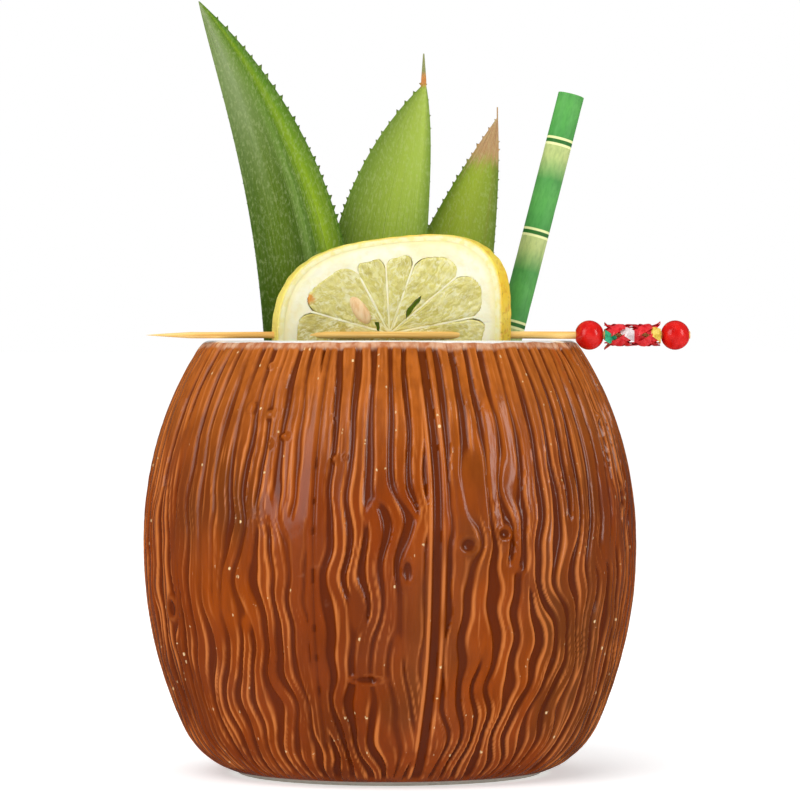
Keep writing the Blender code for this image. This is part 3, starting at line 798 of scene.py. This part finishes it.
def white_pith():
    pith = Finish("lemon_pith", Subsurface_Weight=0.25, Subsurface_Radius=(0.003, 0.002, 0.001))
    spongy = pith.noise(500, 5, 0.6)
    tone = pith.noise(90, 3)
    colour = pith.ramp(tone, (0.3, 251, 242, 196), (0.6, 254, 250, 222))
    colour = pith.tint(colour, (240, 224, 150), spongy, 0.4, 0.75, 0.4)
    colour = pith.tint(colour, (248, 230, 130), pith.mark("rim"), 0.0, 1.0, 0.4)
    colour = pith.mix(pith.mark("thin"), colour, rgb(226, 224, 160))
    return pith.done(colour, pith.span(spongy, 0.3, 0.7, 0.45, 0.65), pith.bump(spongy, 0.0003, 0.5))


def juicy(name, darker):
    """Wet pulp, with a shade and pale walls for each juice sac, and one bruise."""
    pulp = Finish(name, Coat_Weight=0.2, Coat_Roughness=0.1, Subsurface_Weight=0.3,
                  Subsurface_Radius=(0.004, 0.0035, 0.001))
    sac = pulp.mark("sac")
    which = pulp.mark("which")
    colour = pulp.ramp(which, (0.0, 208, 198, 106), (0.3, 218, 210, 120), (0.7, 228, 220, 136),
                       (1.0, 238, 232, 156))
    patch = pulp.noise(210, 3, 0.5)
    colour = pulp.mix(pulp.span(patch, 0.3, 0.6, 0.35, 0.0), colour, rgb(178, 166, 80))
    colour = pulp.tint(colour, (238, 226, 150), patch, 0.58, 0.75, 0.45)
    colour = pulp.mix(darker, colour, rgb(170, 140, 58))
    wisps = pulp.noise(620, 3, 0.55, distortion=1.6)
    colour = pulp.tint(colour, (240, 236, 184), wisps, 0.45, 0.8, 0.5)
    wall = pulp.times(pulp.span(sac, 0.42, 0.0), pulp.span(pulp.noise(330, 3), 0.36, 0.6, 0.25, 0.95))
    colour = pulp.mix(wall, colour, rgb(240, 236, 190))
    colour = pulp.tint(colour, (214, 204, 120), pulp.mark("rim"), 0.2, 1.0, 0.35)
    beside, over = pulp.minus(pulp.part("X"), BRUISE_X), pulp.minus(pulp.part("Z"), BRUISE_Z)
    square = pulp.plus(pulp.times(beside, beside), pulp.times(over, over))
    bruise = pulp.plus(pulp.math("SQRT", square), pulp.times(wisps, 0.0022))
    colour = pulp.tint(colour, (226, 158, 70), bruise, 0.0026, 0.0017)
    return pulp.done(colour, pulp.span(wisps, 0.2, 0.8, 0.18, 0.36), pulp.bump(wisps, 0.0002, 0.35))


# The rind, as a section through its thickness that is carried round the outline: the edge of the front cut,
# the skin and the edge of the back cut, each point with its distance in from the outline and its depth
near_edge = [(PEEL_THICKNESS, 0.0001), (PEEL_THICKNESS * 0.6, 0.0), (0.0006, 0.0), (0.0002, 0.0001)]
skin = [
    (0.00007 * (1 - math.sin(math.pi * share)), 0.0003 + share * (LEMON_THICKNESS - 0.0006))
    for share in between(0.0, 1.0, 10)
]
far_edge = [(inset, LEMON_THICKNESS - deep) for inset, deep in near_edge[::-1]]
section = np.array([*near_edge, *skin, *far_edge])
angle = circle(LEMON_COLUMNS)[None, :]
on_side = np.array([4 <= i < len(section) - 4 for i in range(len(section))])[:, None]
knobbly = lumps(angle * 12, section[:, 1:] * 900, 21, 60, 1.5, 5) * 0.00005 * on_side
wavy = lumps(np.cos(angle) * 3, np.sin(angle) * 3, 4, 20) * 0.00006
inset = section[:, :1] + np.maximum(knobbly + wavy, -section[:, :1])
outline_radius = lemon_outline(angle, inset)
points = in_wheel(outline_radius * np.cos(angle), outline_radius * np.sin(angle), section[:, 1:])
make_piece("lemon_rind", points, grid_faces(len(section), LEMON_COLUMNS, True, True), rind(), "lemon",
           "lemon_peel", {"cut": step(0.00005, 0.0005, section[:, :1])})


def segment_edges(number):
    first = math.radians(MEMBRANE_ANGLES[number - 1])
    last = math.radians(MEMBRANE_ANGLES[number % len(MEMBRANE_ANGLES)])
    return first, last + (2 * math.pi if last < first else 0)


def segment_place(number, u, v):
    """Radius and angle of a point of a segment: u from its tip to its back, v from -1 to 1 across it."""
    first, last = segment_edges(number)
    edge = MEMBRANE / 2 - SEGMENT_OVERLAP
    tip = edge / math.sin(0.3 * (last - first))
    angle = (first + last) / 2 + (last - first) / 2 * v
    width, height = LEMON_HALF_WIDTH - PEEL_THICKNESS, LEMON_HALF_HEIGHT - PEEL_THICKNESS
    outer = oval_radius(angle, width - PITH_RIGHT, width - PITH_LEFT, height - PITH_TOP, SEGMENT_SQUARENESS)
    outer = outer * (1 - 0.15 * np.abs(v) ** 5 + 0.012 * np.sin(5 * v + number))
    radius = tip + (outer - tip) * u
    inset = np.arcsin(np.clip(edge / radius, -1, 1))
    wave = 0.00022 * np.sin(u * 7 + number * 2.1) * (1 - np.abs(v) * 0.2) * u
    turned = (first + last) / 2 + ((last - first) / 2 - inset) * v + wave / radius
    return radius, turned


# The pith, as a front and a back with a pocket for each segment, and a thin wall between the two pockets
pith_radius = np.linspace(0, 1, PITH_ROWS)[:, None]
angle = circle(PITH_COLUMNS)[None, :]
flat_radius = lemon_outline(angle, PEEL_THICKNESS - 0.0003) * pith_radius
pocket = np.zeros(flat_radius.shape)
for number in SEGMENTS:
    first, last = segment_edges(number)
    middle = (first + last) / 2
    away = (angle - middle + math.pi) % (2 * math.pi) - math.pi
    v = away / ((last - first) / 2)
    backs, _ = segment_place(number, np.ones(v.shape), np.clip(v, -1, 1))
    from_back = backs - flat_radius
    half_span = (last - first) / 2 - np.arcsin(np.clip(0.0001 / np.maximum(flat_radius, 1e-5), 0, 1))
    from_side = (half_span - np.abs(away)) * flat_radius
    pocket = np.maximum(pocket, step(0.0001, 0.0004, np.minimum(from_back, from_side)) * (np.abs(v) < 1))
fibres = lumps(angle * 9, flat_radius * 900, 33, 50, 0.6, 3) * 0.00005
sink = CUT_SINK + pocket * (LEMON_THICKNESS / 2 - POCKET_WALL)
sink = sink + fibres * (1 - pocket) * step(0.98, 0.9, pith_radius)
sink = sink + 0.00008 * step(0.94, 0.98, pith_radius)
x, z = flat_radius * np.cos(angle), flat_radius * np.sin(angle)
points = np.concatenate([in_wheel(x, z, sink), in_wheel(x, z, LEMON_THICKNESS - sink)[::-1]])
shares = {"rim": step(0.9, 1.0, pith_radius), "thin": 0.6 * step(0.5, 0.1, pith_radius)}
marks = {mark: np.concatenate([a, a[::-1]]) for mark, a in shares.items()}
faces = grid_faces(2 * PITH_ROWS, PITH_COLUMNS, closed_columns=True)
pith = make_piece("lemon_white", points, faces, white_pith(), "lemon", "lemon_pith", marks)

# The segments: juice sacs lie side by side and fan out from the core
SAC_LENGTH = 0.0044
SAC_WIDTH = 0.00092
SAC_REACH = 0.024
DARKER = {6: 0.36, 5: 0.16, 11: 0.16, 1: 0.1}  # segments that are browner than the rest
LEAST_DARK = 0.05
for number in SEGMENTS:
    draw = np.random.default_rng(100 + number)
    rows, columns = SEGMENT_ROWS, SEGMENT_COLUMNS
    u, v = np.meshgrid(np.linspace(0, 1, rows), np.linspace(-1, 1, columns), indexing="ij")
    flat_radius, turned = segment_place(number, u, v)
    x, z = flat_radius * np.cos(turned), flat_radius * np.sin(turned)
    first, last = segment_edges(number)
    swirl = 0.00075 * lumps(x * 420, z * 420, number, 24, 0.5, 1.5)
    swirl += 0.00022 * lumps(x * 1500, z * 1500, number + 7, 24)
    bent = turned + swirl / np.maximum(flat_radius, 0.003)
    seeds = []
    reach = 0.002
    while reach < SAC_REACH:
        count = max(2, round((last - first) * reach / SAC_WIDTH))
        for place in range(-1, count + 1):
            seed_radius = reach + draw.uniform(-0.5, 0.5) * SAC_LENGTH * 0.8
            seeds.append((seed_radius, first + (last - first) * (place + draw.uniform(0.1, 0.9)) / count))
        reach += SAC_LENGTH * 0.6
    nearest, second, which = np.full(u.shape, 9.0), np.full(u.shape, 9.0), np.zeros(u.shape)
    # Each point belongs to its nearest sac, and the walls lie where two sacs are equally near
    for seed_radius, seed_angle in seeds:
        shade = draw.uniform(0, 1)
        across = (bent - seed_angle) * np.maximum(flat_radius, seed_radius * 0.6) / SAC_WIDTH
        far = np.hypot((flat_radius - seed_radius) / SAC_LENGTH, across)
        closer = far < nearest
        second = np.where(closer, nearest, np.minimum(second, far))
        which = np.where(closer, shade, which)
        nearest = np.where(closer, far, nearest)
    sac = np.clip((second - nearest) / 0.55, 0, 1)
    from_ends = np.minimum(u * flat_radius.max(), (1 - u) * flat_radius.max())
    dome = step(0.0005, 0.0, np.minimum(from_ends, (1 - np.abs(v)) * flat_radius * (last - first) / 2))
    relief = 0.00012 * np.sqrt(sac) + 0.00005 * lumps(x * 900, z * 900, 50 + number, 30)
    sink = 0.0001 + dome * 0.0001 - relief * (1 - dome)
    points = np.concatenate([in_wheel(x, z, sink), in_wheel(x, z, LEMON_THICKNESS - sink)])
    grid = rows * columns
    faces = grid_faces(rows, columns)
    # Walls round the edge close the gap between the front and the back
    near, right = range(columns), range(2 * columns - 1, grid, columns)
    far, left = range(grid - 2, grid - columns - 1, -1), range(grid - 2 * columns, 0, -columns)
    edge_loop = [*near, *right, *far, *left]
    walls = [(a, b, b + grid, a + grid) for a, b in zip(edge_loop, edge_loop[1:] + edge_loop[:1])]
    marks = {mark: np.concatenate([a, a]) for mark, a in (("sac", sac), ("which", which), ("rim", dome))}
    make_piece(f"lemon_segment_{number}", points, [*faces, *(faces[:, ::-1] + grid), *walls],
               juicy(f"lemon_pulp_{number}", DARKER.get(number, LEAST_DARK)), "lemon", f"lemon_pulp_{number}",
               marks, sharp=70)

# Two gaps where the pulp has torn open beside the core, right through the slice
TEARS = (
    # x and z of one end and of the other, from the middle of the slice, half width, and the torn segment
    (0.0036, 0.0028, 0.0068, 0.0078, 0.00075, 2),
    (-0.0034, 0.0030, -0.0020, 0.0010, 0.00055, 5),
)
for x0, z0, x1, z1, half_width, number in TEARS:
    shares = np.linspace(0, 1, 15)
    x, z = x0 + (x1 - x0) * shares, z0 + (z1 - z0) * shares
    size = math.hypot(x1 - x0, z1 - z0)
    wide = half_width * np.sin(np.pi * shares) ** 1.3 * (1 + 0.3 * np.sin(9 * shares))
    crook = 0.0003 * np.sin(5 * shares)
    side_x, side_z = -(z1 - z0) / size, (x1 - x0) / size
    ring_x, ring_z = (
        np.concatenate([a + side * (wide + crook), (a - side * (wide - crook))[-2:0:-1]])
        for a, side in ((x, side_x), (z, side_z))
    )
    count = len(ring_x)
    prism = [in_wheel(ring_x, ring_z, np.full(count, deep)) for deep in (-0.002, LEMON_THICKNESS + 0.002)]
    sides = grid_faces(2, count, closed_columns=True).tolist()
    mesh = bpy.data.meshes.new("tear")
    ends = (range(count)[::-1], range(count, 2 * count))
    mesh.from_pydata(np.concatenate(prism).tolist(), [], [*sides, *ends])
    tear = add_object("tear", mesh)
    close_mesh(mesh)
    for torn in (pith, bpy.data.objects[f"lemon_segment_{number}"]):
        boolean = torn.modifiers.new("tear", "BOOLEAN")
        boolean.operation = "DIFFERENCE"
        boolean.solver = "EXACT"
        boolean.object = tear
        whole = torn.evaluated_get(bpy.context.evaluated_depsgraph_get())
        done = bpy.data.meshes.new_from_object(whole)
        torn.modifiers.clear()
        torn.data = done
    bpy.data.objects.remove(tear, do_unlink=True)

# The seed, a plump drop that the knife has sliced in two
seed_low, seed_high = (np.array(corner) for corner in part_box("lemon_seed"))
SEED_LENGTH = 0.0078
SEED_WIDTH = 0.0033
SEED_FLATNESS = 0.72
SEED_SIDES = 40
SEED_PROUD = np.array([0.0, -0.0005, 0.0])  # the cut left it standing out of the slice
SEED_LEAN = math.radians(-34)


def seed_coat():
    coat = Finish("lemon_seed", Coat_Weight=0.3, Subsurface_Weight=0.2,
                  Subsurface_Radius=(0.002, 0.001, 0.0005))
    veins = coat.noise(900, 3, 0.5, coat.stretch((1, 1, 0.3), turn=(0, SEED_LEAN, 0)))
    shell = coat.ramp(veins, (0.3, 234, 192, 138), (0.55, 249, 218, 170), (0.8, 253, 236, 202))
    return coat.done(shell, coat.span(veins, 0.3, 0.7, 0.25, 0.45), coat.bump(veins, 0.0002, 0.6))


latitude = np.linspace(0, math.pi, SEED_SIDES)[:, None]
around = circle(SEED_SIDES)[None, :]
plump = np.sin(latitude) * (1 - 0.22 * np.cos(latitude))
wide, flat = SEED_WIDTH / 2 * plump * np.cos(around), SEED_FLATNESS * SEED_WIDTH / 2 * plump * np.sin(around)
points = np.stack(np.broadcast_arrays(wide, flat, SEED_LENGTH / 2 * np.cos(latitude)), -1)
seed_turn = np.array(Euler((0, SEED_LEAN, 0)).to_matrix())
seed_middle = (seed_low + seed_high) / 2 + SEED_PROUD
faces = grid_faces(SEED_SIDES, SEED_SIDES, closed_columns=True)
points = points @ seed_turn.T + seed_middle
make_piece("lemon_pip", points, faces, seed_coat(), "lemon", "lemon_seed")


# ---------------------------------------------------------------- leaves
# Three stiff leaves cut from a pineapple's crown. Each is a gutter-shaped blade with fine lengthwise fibres
# and hooked spines along its edges, and stands on the mug's floor behind the lemon.

LEAF_THICKNESS = 0.0009
LEAF_CHANNEL = 0.0022
LEAF_LEAN_BACK = 0.05
LEAF_BEND = MUG_HEIGHT - 0.0065
LEAF_BASE_SHARE = 0.6
LEAF_TIP_WIDTH = 0.0003
NEEDLE_WIDTH, NEEDLE_LENGTH = 0.0009, 0.006  # of a leaf that ends in a long dry spike
LEAF_FOOT = MUG_FLOOR + 0.0003
LEAF_ROWS, LEAF_COLUMNS = 240, 41
SPINE_RINGS, SPINE_SIDES = 5, 8
LEAVES = (
    # name, base x and y, lean, rise over the lip, sweep, sweep back, power, width, taper, spike
    ("leaf_tall", -0.0098, -0.0075, -0.08, 0.0765, -0.0199, 0.008, 2.4, 0.023, 0.0275, 0.0),
    ("leaf_middle", -0.0090, -0.0010, 0.05, 0.0647, 0.0122, 0.002, 2.5, 0.0244, 0.0209, 0.0074),
    ("leaf_short", 0.0009, 0.0055, 0.08, 0.0530, 0.0129, 0.003, 1.2, 0.040, 0.0531, 0.0025),
)
# Spines on the left and the right edge: spacing, length, and how far below the tip they begin and end
SPINES = {
    "leaf_tall": ((0.0024, 0.00035, 0.022, 0.11), (0.0023, 0.0010, 0.004, 0.075)),
    "leaf_middle": ((0.0021, 0.0009, 0.007, 0.075), (0.0035, 0.0004, 0.007, 0.075)),
    "leaf_short": ((0.0018, 0.0008, 0.003, 0.065), (0.0021, 0.00045, 0.008, 0.065)),
}


def leaf_skin(name):
    """Fibres run up the blade; the marks across and up go from 0 to 1 over its width and its height."""
    skin = Finish(name, Specular_IOR_Level=0.28, Subsurface_Weight=0.1,
                  Subsurface_Radius=(0.001, 0.002, 0.0005))
    across, up = skin.mark("across"), skin.mark("up")
    scurf = skin.noise(1900, 3, 0.65, skin.stretch((1, 1, 0.45)))
    blade = skin.vector(skin.times(across, 11.0), skin.times(up, 3.2))
    fibre = skin.noise(3.2, 4, 0.6, skin.stretch((2.4, 0.35, 1), blade))
    thread = skin.noise(9.0, 2, 0.5, skin.stretch((2.2, 0.12, 1), blade))
    patch = skin.noise(0.35, 3, 0.5, blade)
    drift = skin.plus(across, skin.times(skin.minus(fibre, 0.5), 0.16))
    if name == "leaf_tall":
        # Partly painted light: over the leaf's own greens, the pale left part and the bright stripe right of
        # the middle are painted highlights of the channel's lit faces, and the dark band beside the stripe is
        # painted shade.
        high = skin.ramp(drift, (0.0, 112, 134, 74), (0.28, 138, 156, 106), (0.5, 114, 142, 64),
                         (0.64, 84, 120, 18), (0.74, 118, 150, 20), (0.86, 84, 128, 20), (1.0, 66, 104, 22))
        low = skin.ramp(drift, (0.0, 60, 90, 2), (0.3, 84, 112, 0), (0.5, 64, 92, 0),
                        (0.6, 108, 138, 56), (0.66, 64, 100, 0), (0.8, 134, 164, 10), (1.0, 66, 104, 2))
        colour = skin.mix(skin.span(skin.plus(up, skin.times(patch, 0.25)), 0.82, 1.08), low, high)
        colour = skin.mix(skin.span(up, 0.66, 0.5), colour, skin.mix(0.6, low, rgb(50, 78, 0)))
    elif name == "leaf_middle":
        high = skin.ramp(drift, (0.0, 100, 128, 36), (0.25, 134, 158, 56), (0.6, 156, 178, 66),
                         (0.85, 166, 188, 78), (1.0, 112, 142, 44))
        low = skin.ramp(drift, (0.0, 80, 116, 10), (0.3, 126, 154, 34), (0.6, 146, 172, 46),
                        (0.85, 132, 162, 42), (1.0, 88, 122, 24))
        colour = skin.mix(skin.span(up, 0.6, 0.95), low, high)
        dry = skin.mix(skin.span(up, 0.966, 0.976), rgb(200, 130, 66), rgb(142, 146, 92))
        ragged = skin.plus(up, skin.times(fibre, 0.02))
        colour = skin.mix(skin.span(ragged, 0.958, 0.968), colour, dry)
    else:
        blade_green = skin.ramp(drift, (0.0, 98, 128, 18), (0.25, 148, 170, 38), (0.5, 156, 176, 48),
                                (0.8, 134, 156, 42), (1.0, 92, 118, 24))
        colour = skin.mix(skin.span(patch, 0.52, 0.62, 0.0, 0.4), blade_green, rgb(136, 130, 54))
        dry = skin.ramp(thread, (0.3, 146, 100, 62), (0.5, 186, 146, 100), (0.7, 204, 170, 128))
        ragged = skin.plus(up, skin.times(fibre, 0.12))
        colour = skin.mix(skin.span(ragged, 0.965, 0.985), colour, dry)
        burnt = skin.times(skin.span(skin.noise(1.3, 2, 0.5, blade), 0.6, 0.68), skin.span(up, 0.93, 0.95))
        colour = skin.mix(burnt, colour, rgb(88, 56, 38))
    colour = skin.tint(colour, (190, 204, 110), thread, 0.5, 0.8, 0.24)
    colour = skin.tint(colour, (206, 216, 160), scurf, 0.46, 0.7, 0.18)
    colour = skin.tint(colour, (58, 84, 14), fibre, 0.5, 0.3, 0.25)
    colour = skin.tint(colour, (66, 70, 24), skin.mark("spine"), 0.4, 1.0)
    ribbed = skin.bump(skin.plus(thread, fibre), 0.0002, 0.45)
    return skin.done(colour, skin.span(patch, 0.3, 0.7, 0.32, 0.5), ribbed)


def leaf_shape(leaf, z, side):
    """Middle of a blade, z over its foot and at side -1 to 1 across it, with its half width there."""
    _, base_x, base_y, lean, rise, sweep, sweep_back, power, width, taper, spike = leaf
    height = MUG_HEIGHT + rise - LEAF_FOOT
    bend = LEAF_BEND - LEAF_FOOT
    grown = 1 - np.exp(-np.maximum(height - z - spike, 0) / taper)
    narrowed = LEAF_BASE_SHARE + (1 - LEAF_BASE_SHARE) * np.minimum(z / bend, 1)
    needle = NEEDLE_WIDTH * np.clip((height - z) / NEEDLE_LENGTH, 0, 1) if spike > NEEDLE_LENGTH else 0.0
    half = (LEAF_TIP_WIDTH + needle + width * grown * narrowed) / 2
    leant = np.minimum(z, height - spike)
    swept = (np.maximum(leant - bend, 0) / (height - bend)) ** power
    gutter = LEAF_CHANNEL * np.abs(side) ** 1.6 * 2 * half / width
    x = base_x + lean * leant + sweep * swept + side * half
    y = base_y + LEAF_LEAN_BACK * z + sweep_back * swept - gutter
    return np.stack(np.broadcast_arrays(x, y, LEAF_FOOT + z), -1), half


for leaf in LEAVES:
    name = leaf[0]
    draw = np.random.default_rng(len(name) + 40)
    share = 1 - (1 - np.linspace(0, 1, LEAF_ROWS)) ** 1.4
    height = MUG_HEIGHT + leaf[4] - LEAF_FOOT
    z = (height * share)[:, None]
    side = np.sin(np.linspace(-1, 1, LEAF_COLUMNS) * math.pi / 2)[None, :]
    middle, half = leaf_shape(leaf, z, side)
    # Fine ribs along the blade, flatter towards its edges and its tip
    ridge = sum(
        np.sin(side * draw.uniform(18, 75) + draw.uniform(0, 6) + 0.6 * np.sin(z * draw.uniform(20, 60)))
        for _ in range(9)
    ) / 3
    rounded = np.sqrt(np.clip(1 - np.abs(side) ** 6, 0.02, 1))
    thick = LEAF_THICKNESS / 2 * rounded * np.minimum(1, half / 0.0012)
    swell = 0.00007 * ridge * np.minimum(1, half / 0.004) * (1 - np.abs(side) ** 4)
    front_face, back_face = (
        middle + np.stack(np.broadcast_arrays(0, y, 0), -1) for y in (-(thick + swell), thick + swell * 0.6)
    )
    loop = np.concatenate([front_face, back_face[:, ::-1]], axis=1)
    faces = closed_tube(*loop.shape[:2])
    points = list(loop.reshape(-1, 3))
    shares = np.concatenate([side, side[:, ::-1]], 1) / 2 + 0.5
    across_mark = list(np.broadcast_to(shares, loop.shape[:2]).reshape(-1))
    up_mark = list(np.broadcast_to(z / height, loop.shape[:2]).reshape(-1))
    spine_mark = [0.0] * len(points)
    for hand, (spacing, long, begin, end) in zip((-1, 1), SPINES[name]):
        below = begin
        while below < end:
            at = height - below
            size = long * draw.uniform(0.7, 1.15) * min(1, 0.35 + below / 0.012)
            (root, ahead), _ = leaf_shape(leaf, np.array([at, at + 0.0006]), float(hand) * 0.985)
            along = (ahead - root) / np.linalg.norm(ahead - root)
            outward = np.array([hand, -0.25, 0.0])
            outward -= along * outward.dot(along)
            outward /= np.linalg.norm(outward)
            thickness = np.cross(along, outward)
            first = len(points)
            # A flat, curved thorn, from its root inside the edge to its point
            for t in between(0.0, 1.0, SPINE_RINGS - 1):
                centre = root + outward * size * (1.1 * t - 0.35) + along * size * 0.45 * t**1.4
                fat = size * 0.85 * (1 - t) + 0.00002
                flat = min(0.00022, size * 0.4) * (1 - t) + 0.00002
                for a in circle(SPINE_SIDES):
                    points.append(centre + along * fat * math.cos(a) + thickness * flat * math.sin(a))
                    across_mark.append(0.5 + hand * 0.5)
                    up_mark.append(at / height)
                    spine_mark.append(t)
            faces += [[int(i) + first for i in f] for f in closed_tube(SPINE_RINGS, SPINE_SIDES)]
            below += spacing * draw.uniform(0.8, 1.2)
    marks = {"across": across_mark, "up": up_mark, "spine": spine_mark}
    make_piece(f"pineapple_{name}", points, faces, leaf_skin(name), name, name, marks, sharp=50)


# ---------------------------------------------------------------- studio
# A plain pale floor that fades into a white background, four soft lights round it, and the camera level with
# the lip. None of it is part of the mug.

FLOOR_RADIUS = 40.0
WORLD_LIGHT = 0.4
BACKDROP = 1.0
MIRRORED_LIGHT = 0.07  # how bright the room looks in a glossy surface
FLOOR_GLOW = 0.45
FLOOR_GAP = 0.00005  # keeps the floor clear of the mug's base

floor_mesh = bpy.data.meshes.new("floor")
bm = bmesh.new()
bmesh.ops.create_circle(bm, cap_ends=True, segments=96, radius=FLOOR_RADIUS)
bm.to_mesh(floor_mesh)
bm.free()
floor = add_object("floor", floor_mesh)
paint = Finish("floor_paint", Roughness=0.7, Emission_Color=(1, 1, 1, 1), Emission_Strength=FLOOR_GLOW)
paint.set("Base Color", paint.mix(paint.noise(3, 2), rgb(244, 244, 244), rgb(248, 248, 248)))
floor_mesh.materials.append(paint.material)
floor.visible_glossy = False
floor.location.z = -FLOOR_GAP

world = bpy.data.worlds.new("studio")
world.use_nodes = True
sky = world.node_tree.nodes
path = sky.new("ShaderNodeLightPath")
strength = sky["Background"].inputs["Strength"]
before = WORLD_LIGHT
for ray, brightness in (("Is Camera Ray", BACKDROP), ("Is Glossy Ray", MIRRORED_LIGHT)):
    choice = sky.new("ShaderNodeMix")
    world.node_tree.links.new(path.outputs[ray], choice.inputs[0])
    if isinstance(before, bpy.types.NodeSocket):
        world.node_tree.links.new(before, choice.inputs[2])
    else:
        choice.inputs[2].default_value = before
    choice.inputs[3].default_value = brightness
    before = choice.outputs[0]
world.node_tree.links.new(before, strength)
sky["Background"].inputs["Color"].default_value = (1, 1, 1, 1)
bpy.context.scene.world = world


def aim(name, data, place, target):
    """A lamp or a camera that stands at a place and looks at its target."""
    obj = add_object(name, data)
    obj.location = place
    obj.rotation_euler = (Vector(target) - Vector(place)).to_track_quat("-Z", "Y").to_euler()
    return obj


sun = bpy.data.lights.new("sky_panel", "SUN")
sun.energy = 1.5
sun.angle = math.radians(50)
aim("sky_panel", sun, (0, 0, 0), (0.45, 0.9, -1.25)).visible_glossy = False

SOFT_LIGHTS = (
    # name, place, height that it is aimed at, width and height, power, and whether glossy things show it
    ("window_left", (-0.85, -0.8, 0.55), 0.07, (0.55, 0.9), 3.0, True),
    ("window_right", (0.9, -0.55, 0.45), 0.07, (0.25, 0.7), 2.4, True),
    ("overhead", (0.0, 0.35, 1.1), 0.08, (0.9, 0.6), 2.5, False),
)
for name, place, aimed_at, size, power, mirrored in SOFT_LIGHTS:
    light = bpy.data.lights.new(name, "AREA")
    light.shape = "RECTANGLE"
    light.size, light.size_y = size
    light.energy = power
    aim(name, light, place, (0, 0, aimed_at)).visible_glossy = mirrored

camera = bpy.data.cameras.new("camera")
camera.sensor_width = 36.0
camera.lens = 204.3
camera.clip_start = 0.05
camera.clip_end = 200.0
bpy.context.scene.camera = aim("camera", camera, (0.0023, -1.016, 0.096), (0.0023, 0.0, 0.0832))
bpy.context.scene.view_settings.view_transform = "Standard"
